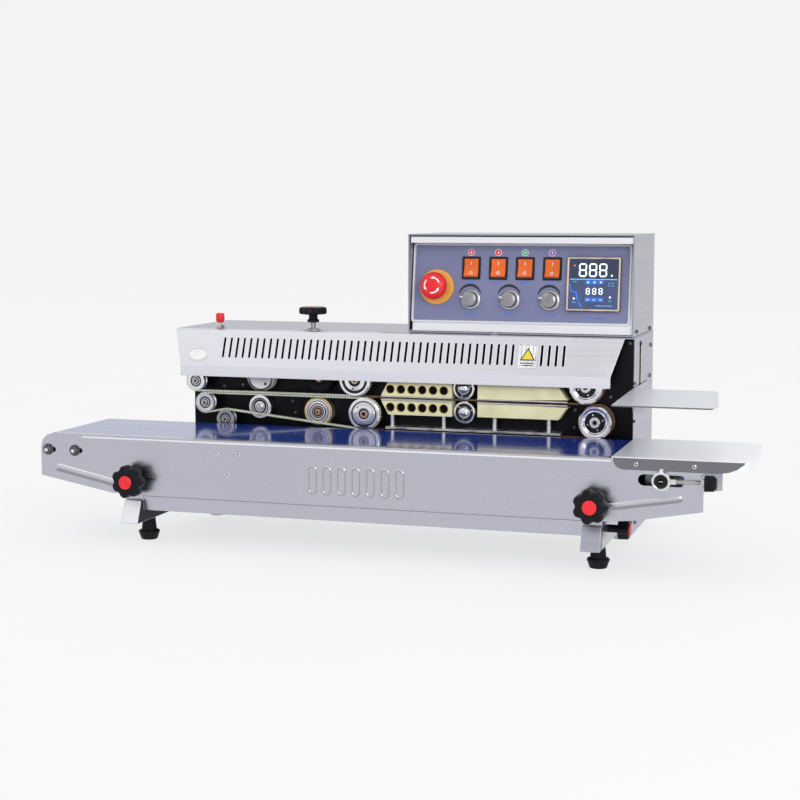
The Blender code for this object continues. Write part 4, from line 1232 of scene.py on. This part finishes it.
def hole_rims():
    """Thin brass rims round the six holes of each cooling block, with dark discs inside as painted shade."""
    y = low("cooling_block_upper").y
    first, pitch, rise, radius = -33.0, 15.3, 12.5, 6.0
    inner, outer, depth = radius - 0.1, radius + 0.05, -20.0
    rim = [(inner, depth), (inner, 0.25), (radius + 0.7, 0.25), (radius + 0.9, -0.1), (outer, -0.1),
           (outer, depth), (inner, depth)]
    disc = [(0, -6.0), (inner, -6.0), (inner, -5.0), (0, -5.0)]

    def build(bm):
        for side in (1, -1):
            for i in range(6):
                place = at_front(first + pitch * i, y, seal_height() + side * rise)
                add_lathe(bm, rim, place)
                add_lathe(bm, disc, place, FINE, 1)

    make("cooling_hole_rims", "head", [brass, painted_recess_shade], build)


def add_wire(bm, path, radius, segments=8):
    """Round wire along a path."""
    rings = []
    for i, point in enumerate(path):
        along = (path[min(i + 1, len(path) - 1)] - path[max(i - 1, 0)]).normalized()
        side = along.cross(Vector((0, 0, 1)))
        side = side.normalized() if side.length > 1e-4 else Vector((1, 0, 0))
        up = side.cross(along).normalized()
        rings.append([bm.verts.new(point + side * (radius * math.cos(2 * math.pi * k / segments))
                                   + up * (radius * math.sin(2 * math.pi * k / segments)))
                      for k in range(segments)])
    add_loft(bm, rings)


GUARD_BEND, GUARD_FOLD = (17.6, 276.0), (-2.3, 226.5)   # depth and height of the guard's two bends
GUARD_TAPER, GUARD_LIP = 15.0, 15.0                     # cut-back of its ends, and its lip's height
SLOT_COUNT, SLOT_FIRST, SLOT_PITCH = 50, -280.5, 10.0


def guard_face(x, up):
    """Placement on the guard's sloping outer face: local X along it, local Y up it, local Z out of it."""
    (bend_y, bend_z), (fold_y, fold_z) = GUARD_BEND, GUARD_FOLD
    lean = math.atan2(bend_y - fold_y, bend_z - fold_z)
    return (on_top(x, fold_y + up * math.sin(lean), fold_z + up * math.cos(lean))
            @ Matrix.Rotation(-lean, 4, "X") @ turned_about("X", 90))


def guard_rims():
    """Pressed, rounded rims of the guard's slots and the lip along its lower edge, in a brighter metal than the
    guard: painted highlights.
    """
    guard, guard_end = low("front_guard"), high("front_guard")
    left, right, bottom = guard.x + GUARD_TAPER, guard_end.x - GUARD_TAPER, guard.z
    top = bottom + GUARD_LIP
    lip = [(left + 5.0, bottom), (right - 5.0, bottom), (right - 1.5, bottom + 1.5), (right, bottom + 5.0),
           (right, top), (left, top), (left, bottom + 5.0), (left + 1.5, bottom + 1.5)]

    def build(bm):
        for i in range(SLOT_COUNT):
            add_frame(bm, rounded(5.2, 31.8, 2.55), 0.9, -0.1, 0.35,
                      guard_face(SLOT_FIRST + SLOT_PITCH * i, 27.5))
        add_prism(bm, lip, -0.1, 0.35, at_front(0, guard.y, 0), chamfer=0.1)

    make("guard_slot_rims", "front_guard", [satin_and_highlight_metal], build)


def guard_labels():
    """A blank oval plate and a plain hazard triangle on a white plate, both without lettering."""
    oval, label = guard_face(-320.0, 16.2), guard_face(160.5, 25.5)
    triangle = [(-10.4, -5.4), (10.4, -5.4), (0.0, 12.6)]

    def build(bm):
        add_prism(bm, ellipse(16.5, 11.0), -0.1, 0.35, oval, 1, 0, chamfer=0.15)
        add_frame(bm, ellipse(14.6, 9.2), 0.45, 0.3, 0.42, oval, 1)
        add_prism(bm, rounded(26.5, 32.0, 1.5), -0.1, 0.35, label, 1, 0, chamfer=0.15)
        add_prism(bm, triangle, 0.3, 0.5, label, 1)
        add_prism(bm, inset(triangle, 1.5), 0.45, 0.62, label, 2)
        for row, width in ((-9.2, 19.0), (-12.2, 15.0)):
            add_prism(bm, rounded(width, 1.3, 0.5, (0, row), 3), 0.3, 0.42, label, 1)

    make("guard_plates", "front_guard", [white_print, black_print, yellow_print], build)


def guard_hinge():
    """Short knuckle hinge and a latch along the guard's top edge."""
    top, front = high("top_plate").z, low("top_plate").y
    first, pitch, length = -50, 5.8, 4.6

    def build(bm):
        for i in range(7):
            x = first + pitch * i
            add_rod(bm, (x, front - 1.2, top + 0.3), (x + length, front - 1.2, top + 0.3), 1.3, 16)
        add_box(bm, (-52, -9), (front + 0.4, front + 9), (top - 0.1, top + 0.9))
        for x in (-46, -30, -15):
            add_cross_screw(bm, on_top(x, front + 5.4, top + 0.9), 1.7)
        add_box(bm, (104, 114), (front + 0.6, front + 11), (top - 0.1, top + 1.6))
        add_socket_screw(bm, on_top(109, front + 5.4, top + 1.6), 3.0)

    make("guard_hinge_parts", "head", [zinc, painted_recess_shade], build, bevel=0.15)


def top_knobs():
    """Pressure hand knob and spring pin on the head's top, each with its seat."""
    star, top = middle("pressure_knob"), high("pressure_knob").z
    pin, cap = middle("release_pin"), high("release_pin").z
    plate, screw_end = high("top_plate").z, 236.0

    def knob(bm):
        place = on_top(star.x, star.y, top)
        add_hand_knob(bm, lobed(20.0, 7, 0.15), ((0.34, -11.0), (0.08, -10.4), (0.0, -8.6), (0.0, -3.2),
                                                 (0.07, -1.0), (0.22, -0.3), (0.42, -0.1)), place)
        add_lathe(bm, [(0, -0.6), (7.2, -0.6), (6.9, 0.0), (0, 0.0)], place, FINE, 1)
        add_lathe(bm, [(0, -22.0), (8.0, -22.0), (8.6, -20.6), (8.6, -18.6), (6.4, -17.4), (6.2, -12.4),
                       (7.6, -10.6), (0, -10.6)], place)
        add_thread(bm, (star.x, star.y, screw_end), (star.x, star.y, top - 20.0), 4.0, 1.25, 2)

    refine("pressure_knob", [black_plastic, red_plastic, zinc], knob)

    def seat(bm):
        add_lathe(bm, [(9.4, 0.0), (12.6, 0.0), (12.6, 1.0), (12.0, 1.4), (9.4, 1.4), (9.4, 0.0)],
                  on_top(star.x, star.y, plate))

    make("pressure_knob_seat", "head", [zinc], seat)

    def stem(bm):
        add_lathe(bm, [(0, -48.0, 1), (2.2, -48.0, 1), (2.2, -14.0, 1), (4.5, -13.4), (6.2, -10.4),
                       (6.2, -2.0), (5.4, -0.6), (4.0, 0.0), (0, 0.0)], on_top(pin.x, pin.y, cap))

    refine("release_pin", [red_plastic, zinc], stem)

    def bush(bm):
        outer, bore = circle(6.6, 6), circle(2.7, 6)
        add_band(bm, [(outer, 0.0), (outer, 4.0), (inset(outer, 0.4), 4.4), (bore, 4.4), (bore, 0.0)],
                 on_top(pin.x, pin.y, plate))

    make("release_pin_bush", "head", [zinc], bush)


def guide_plate():
    """Upper guide plate with a cut-back, rounded end, and the flange that carries it."""
    (left, front, bottom), (right, back, top) = low("upper_guide_plate"), high("upper_guide_plate")
    rear, sheet, round_x, front_round, rear_round, cut_back = 25.0, 2.0, 8.0, 26.0, 34.0, 16.0
    outline = [(left, rear), (left + 6.0, front)]
    outline += arc(round_x, front_round, -90, 0, 15, (right - round_x, front + front_round))
    outline += arc(round_x, rear_round, 0, 90, 15, (right - round_x - cut_back, rear - rear_round))
    end = left + 17.0
    flange = [(left, bottom), (end - 4.0, bottom), (end - 1.0, bottom + 1.0), (end, bottom + 4.0),
              (end, top - sheet - 0.2), (left, top - sheet - 0.2)]

    def build(bm):
        add_prism(bm, outline, 0.0, sheet, on_top(0, 0, top - sheet), chamfer=0.2)
        bmesh.ops.recalc_face_normals(bm, faces=bm.faces)
        # Its front-facing edges take the darker steel: painted shade.
        for face in bm.faces:
            if face.normal.y < -0.5 and abs(face.normal.z) < 0.5:
                face.material_index = 1
        add_box(bm, (left, left + sheet), (rear, back), (bottom, top), slot=2)
        add_prism(bm, flange, 0.0, 1.5, at_front(0, rear + 1.5, 0), 3)

    make("guide_sheet", "head", [guide_steel, painted_shade_steel, side_steel, satin_and_highlight_metal], build,
         stands_for=["upper_guide_plate"])


def side_details():
    """Screws and inspection cover on the right side, and the guide plate's bolts."""
    side, box_side = high("housing").x, high("control_box").x
    tab_x = low("upper_guide_plate").x + 2.0

    def build(bm):
        for y, z in ((50, 284), (163, 281.5)):
            add_socket_screw(bm, at_right(box_side, y, z), 2.6)
        for y, z in ((174, 257), (170, 214), (60, 24), (170, 24)):
            add_cross_screw(bm, at_right(side, y, z), 3.2)
        cover = at_right(side, 88, 237)
        # The cover is a dark slot of painted shade, with a zinc strip towards its right side as a painted
        # highlight.
        add_prism(bm, rounded(11, 64, 4), -0.1, 0.5, cover, 1, chamfer=0.2)
        add_prism(bm, rounded(4, 52, 1.5, (2.2, 0)), 0.3, 0.9, cover, 2, chamfer=0.2)
        for dz in (-28, 28):
            add_cross_screw(bm, cover @ on_top(0, dz, 0.5), 2.6)
        for y in (62, 96, 132):
            add_hex_bolt(bm, at_right(tab_x, y, 192), 3.6)
        for z in (165, 216):
            add_rod(bm, (side - 6, 34.4, z), (side + 3, 34.4, z), 2.0, 16)

    make("head_side_screws", "head", [blackened, painted_recess_shade, zinc], build)


def fan_details():
    """Wire grille over the cooling fan and the rotor behind it."""
    fan = middle("cooling_fan_frame")
    place = at_back(fan.x, high("housing").y, fan.z)

    def grille(bm):
        for radius in (8, 15, 22, 29, 36, 42):
            ring = circle(radius, 48)
            add_wire(bm, [place @ Vector((x, y, 1.6)) for x, y in ring + ring[:1]], 0.9)
        for x, y in circle(1.0, 4):
            spoke = place @ turned_about("Z", 45) @ on_top(46 * x, 46 * y, 1.0)
            add_rod(bm, place @ Vector((0, 0, 1.0)), spoke.translation, 0.9, 10)
        for a in (45, 135, 225, 315):
            corner = on_top(47 * math.cos(math.radians(a)), 47 * math.sin(math.radians(a)), 0)
            add_cross_screw(bm, place @ corner, 3.0)

    make("fan_grille", "head", [chromed, painted_recess_shade], grille)

    def rotor(bm):
        add_lathe(bm, [(0, -24.0), (14.0, -24.0), (14.0, -7.0), (12.0, -5.5), (0, -5.5)], place)
        for i in range(7):
            turn = place @ Matrix.Rotation(2 * math.pi * i / 7, 4, "Z")
            blade = [turn @ Vector(p) for p in ((13.5, -3.5, -20), (34, -9.0, -20), (34.5, 6.5, -9),
                                                (13.5, 4.5, -9))]
            add_loft(bm, [[bm.verts.new(p + Vector((0, y, 0))) for p in blade] for y in (0.9, 0)])

    make("fan_rotor", "head", [black_plastic], rotor)


def inlet_details():
    """Contact pins and fixing screws of the mains inlet."""
    back, face, inlet = high("housing").y, high("power_inlet").y, middle("power_inlet")

    def build(bm):
        for dx, dz in ((-6, -1.5), (0, 2), (6, -1.5)):
            x, z = inlet.x + dx, inlet.z + dz
            add_box(bm, (x - 1.0, x + 1.0), (back - 13, back - 1.5), (z - 2.4, z + 2.4))
        for dx in (-18.2, 18.2):
            add_cross_screw(bm, at_back(inlet.x + dx, face, inlet.z), 2.4)

    make("inlet_pins", "head", [zinc, painted_recess_shade], build)


def back_screws():
    (left, _, _), (right, back, _) = low("housing"), high("housing")
    (box_left, _, _), (box_right, box_back, _) = low("control_box"), high("control_box")

    def build(bm):
        for x in (left + 12, (left + right) / 2, right - 12):
            for z in (22, 264):
                add_cross_screw(bm, at_back(x, back, z), 3.0)
        for x in (box_left + 12, box_right - 12):
            for z in (290, 402):
                add_cross_screw(bm, at_back(x, box_back, z), 2.8)

    make("back_screws", "head", [zinc, painted_recess_shade], build)


def vents():
    """Rows of rimmed slots in the back of the housing and of the control box."""
    back, box_back = high("housing").y, high("control_box").y
    rows = [(x, back, 215 - 9 * i, 62, 4.6) for x in (-190, -100, -10) for i in range(7)]
    rows += [(140, box_back, 385 - 8 * i, 110, 4.2) for i in range(8)]

    def build(bm):
        for x, y, z, width, height in rows:
            place = at_back(x, y, z)
            add_frame(bm, rounded(width, height, height / 2 - 0.1), 0.6, -0.1, 0.5, place)
            # Each slot's inside is a dark patch: painted shade.
            add_prism(bm, rounded(width - 1, height - 1, height / 2 - 0.6), -0.1, SURFACE, place, 1)

    make("vent_slots", "head", [side_steel, painted_recess_shade], build)


def blank_plate():
    """Rating plate with a plain border and no lettering."""
    place = at_back(-235, high("housing").y, 140)

    def build(bm):
        add_prism(bm, rounded(58, 34, 2), -0.1, 0.5, place, chamfer=0.2)
        add_frame(bm, rounded(54, 30, 1.5), 0.4, 0.4, 0.55, place, 1)
        for dx in (-26, 26):
            add_cross_screw(bm, place @ on_top(dx, 0, 0.5), 1.4, 1)

    make("blank_rating_plate", "head", [satin_and_highlight_metal, black_print], build)


def box_trim():
    """Painted shadow along the joint under the control box's top edge, its bright front flange and painted shade
    along its dark left edge.
    """
    (left, front, _), (right, _, top) = low("control_box"), high("control_box")
    edge = [(0.0, 1.0), (3.4, 1.0), (4.4, 128.0), (0.0, 128.0)]

    def build(bm):
        add_box(bm, (left + 2.2, right - 2.2), (front + 0.4, front + 1.4), (top - 3.4, top - 2.0))
        add_box(bm, (left + 4.0, right - 2.3), (front + 1.4, front + 2.4), (top - 12.0, top - 3.6), slot=1)
        add_prism(bm, edge, 0.1, 0.5, panel_place(left + 1.6, 0))

    make("box_shadow_gap", "head", [painted_recess_shade, satin_and_highlight_metal], build)


# ---------------------------------------------------------------------- panel
PANEL_TILT = math.radians(8.0)
PANEL_FOOT_Y, PANEL_FOOT_Z = 30.0, 280.5
FILM_X, FILM_UP = (-7.0, 290.0), (15.0, 118.0)
ROCKERS = ("rocker_power", "rocker_heater", "rocker_fan", "rocker_drive")
DIALS = ("speed_knob", "coding_knob", "blower_knob")


def panel_place(x, up, out=0.0):
    """On the panel's outer face: local X across, local Y up along it, local Z out of it."""
    return (on_top(0, PANEL_FOOT_Y, PANEL_FOOT_Z) @ Matrix.Rotation(-PANEL_TILT, 4, "X")
            @ on_top(x, -out, up) @ turned_about("X", 90))


def panel_height(z):
    """Height along the panel of a point at world height z."""
    return (z - PANEL_FOOT_Z) / math.cos(PANEL_TILT)


def across(node):
    return middle(node).x


def panel_plate():
    """Raised satin border and printed film."""
    (left, right), (bottom, top) = FILM_X, FILM_UP
    width, height, centre = right - left, top - bottom, ((left + right) / 2, (bottom + top) / 2)
    outline = rounded(width + 7.0, height + 7.0, 4.0, centre)
    steps = ((0.0, -0.1), (0.3, 1.4), (1.2, 2.2), (2.6, 2.2), (3.4, 1.2), (3.6, -0.1))

    def build(bm):
        place = panel_place(0, 0)
        add_band(bm, [(inset(outline, step), rise) for step, rise in steps], place)
        add_prism(bm, rounded(width - 0.4, height - 0.4, 2.2, centre), -0.1, 0.35, place, 1, chamfer=0.1)

    make("panel_film", "head", [satin_and_highlight_metal, panel_film], build)


def panel_prints():
    """Round symbols over the rockers, dial arcs and neutral dashes where a label would be."""
    paints = [white_print, red_print, red_plastic, green_print, violet_print, key_blue, black_print]
    rocker_up = panel_height(pivot("rocker_power").z)
    knob_up = panel_height(pivot("speed_knob").z)

    def build(bm):
        for slot, node in enumerate(ROCKERS, 1):
            x = across(node)
            place = panel_place(x - 1.0, rocker_up + 21.6, 0.3)
            add_prism(bm, circle(4.7), 0.0, 0.2, place, 0)
            add_prism(bm, circle(4.0), 0.15, 0.3, place, slot)
            add_box(bm, (-0.5, 0.5), (-2.0, 2.0), (0.28, 0.4), place, 0)
            add_box(bm, (-1.7, 1.7), (-0.45, 0.45), (0.28, 0.4), place, 0)
            add_dashes(bm, x - 4.6, rocker_up - 19.4, 4.4, (3.6, 2.6, 3.2))
        for x in map(across, DIALS):
            add_dashes(bm, x - 6.8, knob_up - 19.0, 4.6, (3.4, 2.8, 3.8, 3.0))
            add_crescent(bm, x - 1.5, knob_up + 1.8, 16.0, 20.0, 24, 158)
        add_dashes(bm, across("temperature_controller") - 12, FILM_UP[0] + 6.5, 5.0,
                   (3.8, 2.8, 3.4, 3.0, 3.8, 2.6))

    make("panel_prints", "head", paints, build)


def add_dashes(bm, x, up, pitch, widths, slot=5):
    """Row of neutral dashes, each over a shorter one."""
    for i, width in enumerate(widths):
        place = panel_place(x + pitch * i, up, 0.3)
        add_prism(bm, rounded(width, 1.5, 0.5, steps=3), 0.0, 0.16, place, slot)
        add_prism(bm, rounded(width * 0.7, 0.7, 0.3, (0, -1.9), 3), 0.0, 0.16, place, slot)


def add_crescent(bm, x, up, inner, outer, start, end, slot=6):
    """Crescent scale over a dial, widest in its middle."""
    count = 24
    near, far = [], []
    for i in range(count + 1):
        a = math.radians(start + (end - start) * i / count)
        reach = inner + (outer - inner) * (0.3 + 0.7 * math.sin(math.pi * i / count))
        near.append((inner * math.cos(a), inner * math.sin(a)))
        far.append((reach * math.cos(a), reach * math.sin(a)))
    add_prism(bm, far + near[::-1], 0.0, 0.16, panel_place(x, up, 0.3), slot)


def rockers():
    """Lit rocker switches in black bezels."""
    outline, inner = rounded(25.6, 31.0, 1.4), rounded(20.8, 26.4, 0.8)
    side = [(-12.3, -2.4), (-12.3, 3.6), (-11.6, 4.2), (-4.0, 2.2), (0.0, 1.7), (4.0, 2.2), (11.6, 4.2),
            (12.3, 3.6), (12.3, -2.4)]
    for node in ROCKERS:
        place = panel_place(across(node), panel_height(pivot(node).z))

        def bezel(bm):
            add_band(bm, [(outline, 0.2), (outline, 1.9), (inset(outline, 0.7), 2.5), (inner, 2.2),
                          (inner, 0.2)], place)
            # The dark patch inside the bezel is painted shade.
            add_box(bm, (-10.6, 10.6), (-13.4, 13.4), (0.1, 0.3), place, 1)

        make(f"{node}_bezel", "head", [bezel_plastic, painted_recess_shade], bezel)

        def button(bm):
            tilted = place @ turned_about("X", -7)
            add_loft(bm, [[bm.verts.new(tilted @ Vector((x, y, z + crown if z > 0 else z))) for y, z in side]
                          for x, crown in ((-9.9, -0.5), (-9.2, 0.0), (9.2, 0.0), (9.9, -0.5))])
            for sign, centre in ((1, 6.2), (-1, -7.0)):
                mark = (tilted @ on_top(0, centre, 1.7 + 0.2632 * (abs(centre) - 1.2))
                        @ turned_about("X", 14.7 * sign))
                if sign > 0:
                    add_box(bm, (-0.5, 0.5), (-2.0, 2.0), (-0.6, 0.22), mark, 1)
                else:
                    add_frame(bm, circle(2.3, 24), 0.7, -0.6, 0.22, mark, 1)

        make(f"{node}_button", node, [orange_plastic, white_print], button,
             stands_for=[node])


def dials():
    """Grey potentiometer knobs with a pointer and a fluted skirt."""
    outline = teeth_outline(11.6, 40, 0.35)
    for node in DIALS:
        place = panel_place(across(node), panel_height(pivot(node).z))

        def build(bm):
            add_lathe(bm, [(0, 0.6), (13.2, 0.6), (13.8, 1.0), (13.8, 1.8), (13.0, 2.6), (12.0, 3.0),
                           (0, 3.0)], place, ROUND, 3)
            sections = [(scaled(outline, 1.0), 2.8), (scaled(outline, 0.97), 10.0), (scaled(outline, 0.93), 11.6)]
            add_loft(bm, add_sections(bm, sections, place))
            add_lathe(bm, [(0, 11.0, 1), (10.6, 11.4, 1), (9.8, 12.8, 1), (6.5, 13.8, 1), (0, 14.3, 1)],
                      place, 48, 1)
            pointer = place @ turned_about("Z", 166)
            add_prism(bm, [(10.0, -2.0), (15.0, -0.8), (15.0, 0.8), (10.0, 2.0)], 1.6, 6.0, pointer, 2)
            add_box(bm, (7.0, 10.9), (-0.6, 0.6), (10.6, 13.2), pointer, 2)
            add_lathe(bm, [(0, -12.0), (3.0, -12.0), (3.0, 1.0), (0, 1.0)], place, 20)

        make(f"{node}_detail", node, [dial_metal, dial_metal, white_print, turned], build,
             stands_for=[node])


def stop_button():
    """Red mushroom button with turn arrows, in a yellow collar."""
    node, half_depth = "stop_button", 18.0
    place = panel_place(across(node), panel_height(middle(node).z - half_depth * math.sin(PANEL_TILT)))

    def ring(bm):
        add_lathe(bm, [(9.4, 0.3), (24.0, 0.3), (24.0, 2.2), (23.2, 2.9), (19.5, 3.1), (15.0, 3.1),
                       (14.4, 3.9), (9.4, 3.9), (9.4, 0.3)], place, ROUND)

    make("stop_button_collar", "head", [yellow_plastic], ring)

    def cap(bm):
        add_lathe(bm, [(0, 7.4, 1), (8.6, 7.4, 1), (8.6, 12.6, 1), (12.0, 12.9, 0), (17.2, 14.6, 0),
                       (18.6, 16.8, 0), (18.8, 18.6, 0), (17.9, 21.2, 0), (15.4, 23.9, 0), (11.0, 26.0, 0),
                       (6.0, 26.8, 0), (0, 27.0, 0)], place, ROUND)
        for turn in (20, 140, 260):
            arrow = place @ turned_about("Z", turn)
            points = [dome_point(9.6, a) for a in range(0, 61, 10)]
            points += [dome_point(11.4, a) for a in range(60, -1, -10)]
            add_shell(bm, points, arrow, 2)
            add_shell(bm, [dome_point(8.4, 58), dome_point(12.6, 58), dome_point(10.5, 84)], arrow, 2)

    make("stop_button_detail", node, [red_plastic, black_plastic, white_print], cap,
         stands_for=[node])


def dome_point(radius, degrees):
    """A point just over the mushroom's domed top."""
    height = 27.0 - 0.0090 * radius ** 2 + 0.5
    a = math.radians(degrees)
    return radius * math.cos(a), radius * math.sin(a), height


def add_shell(bm, points, place, slot, thick=1.6):
    """Thin closed patch that follows a curved face."""
    top = [bm.verts.new(place @ Vector(p)) for p in points]
    under = [bm.verts.new(place @ Vector((p[0], p[1], p[2] - thick))) for p in points]
    bridge(bm, under, top, slot)
    bm.faces.new(top).material_index = slot
    bm.faces.new(list(reversed(under))).material_index = slot


SEGMENTS = (((-1, 2), (1, 2)), ((1, 2), (1, 0)), ((1, 0), (1, -2)), ((-1, -2), (1, -2)), ((-1, 0), (-1, -2)),
            ((-1, 2), (-1, 0)), ((-1, 0), (1, 0)))


def add_digit(bm, x, up, half, stroke, place, slot):
    """Seven-segment figure eight."""
    for start, end in SEGMENTS:
        a = Vector((x + start[0] * half, up + start[1] * half * 0.92))
        b = Vector((x + end[0] * half, up + end[1] * half * 0.92))
        along = (b - a).normalized()
        aside = Vector((-along.y, along.x)) * stroke
        a, b = a + along * stroke * 0.75, b - along * stroke * 0.75
        points = [a - along * stroke * 0.5, a - aside * 0.55, b - aside * 0.55,
                  b + along * stroke * 0.5, b + aside * 0.55, a + aside * 0.55]
        add_prism(bm, [tuple(p) for p in points], 0.0, 0.12, place, slot)


def controller():
    """Face of the temperature controller: tinted window, figures, keys and lamps."""
    node, face, half = "temperature_controller", 7.0, 36.0
    up = panel_height(high(node).z - face * math.sin(PANEL_TILT)) - half
    place = panel_place(across(node), up, face)

    def rim(bm):
        outline = rounded(2 * half, 2 * half, 1.6)
        add_band(bm, [(outline, -2.0), (outline, 0.3), (inset(outline, 0.6), 0.8), (inset(outline, 1.9), 0.8),
                      (inset(outline, 2.6), 0.2), (inset(outline, 2.6), -2.0)], place)

    make("controller_rim", "head", [brass_satin], rim)

    def window(bm):
        add_prism(bm, rounded(66.6, 66.6, 1.0), -1.9, 0.1, place, 0)
        add_prism(bm, rounded(66.0, 39.0, 0.8, (0, -13.4), 3), 0.0, 0.16, place, 5)
        glass = place @ on_top(0, 0, 0.17)
        add_prism(bm, rounded(64.0, 1.0, 0.4, (0, 6.4), 3), 0.0, 0.1, glass, 3)
        for i in (-1, 0, 1):
            add_digit(bm, 13.6 * i - 1.0, 18.6, 4.4, 1.7, glass, 1)
            add_digit(bm, 8.6 * i + 1.6, -9.6, 2.1, 1.0, glass, 1)
            for dy in (2.4, -21.0):
                key = rounded(8.0, 6.0, 0.8, (8.6 * i + 1.6, dy), 3)
                add_prism(bm, key, 0.0, 0.5, glass, 2, chamfer=0.2)
                add_box(bm, (8.6 * i + 0.2, 8.6 * i + 3.0), (dy - 0.3, dy + 0.3), (0.45, 0.6), glass, 1)
                if dy > 0:
                    add_box(bm, (8.6 * i + 1.3, 8.6 * i + 1.9), (dy - 1.4, dy + 1.4), (0.45, 0.6), glass, 1)
        trend = [(-32.0, -0.5), (-28.0, -12.5), (-24.0, -8.0), (-20.0, -23.0), (-15.5, -30.5)]
        for a, b in zip(trend, trend[1:]):
            add_prism(bm, bead_outline(a, b, 2.2), 0.0, 0.12, glass, 2)
        for px, py, slot in ((23.0, -17.5, 1), (-25.6, -19.5, 1), (-26.0, 24.5, 4), (24.5, 11.5, 1)):
            add_prism(bm, circle(1.3, 16, (px, py)), 0.0, 0.2, glass, slot)
        for px, py, w, h in ((24.0, -0.5, 7.0, 4.4), (-25.0, 3.2, 5.0, 1.2), (23.0, -22.5, 4.6, 1.0),
                             (-25.6, -24.4, 4.6, 1.0), (15.0, -29.0, 22.0, 1.4)):
            add_frame(bm, rounded(w, h, 0.3, (px, py), 2), 0.3, 0.0, 0.12, glass, 3)

    paints = [window_blue, lit_white, key_blue, lit_blue, lit_red, window_light]
    make("controller_window", "head", paints, window)


def head():
    plate_screws()
    block_details()
    hole_rims()
    guard_labels()
    guard_rims()
    guard_hinge()
    top_knobs()
    side_details()
    guide_plate()
    fan_details()
    inlet_details()
    back_screws()
    vents()
    blank_plate()
    box_trim()
    panel_plate()
    panel_prints()
    rockers()
    dials()
    stop_button()
    controller()
    band_wheels()
    idlers()
    coding_wheels()
    ink_wheels()
    press_rollers()
    guide_belts()


stage()
kept_nodes()
conveyor()
head()

bpy.context.view_layer.update()
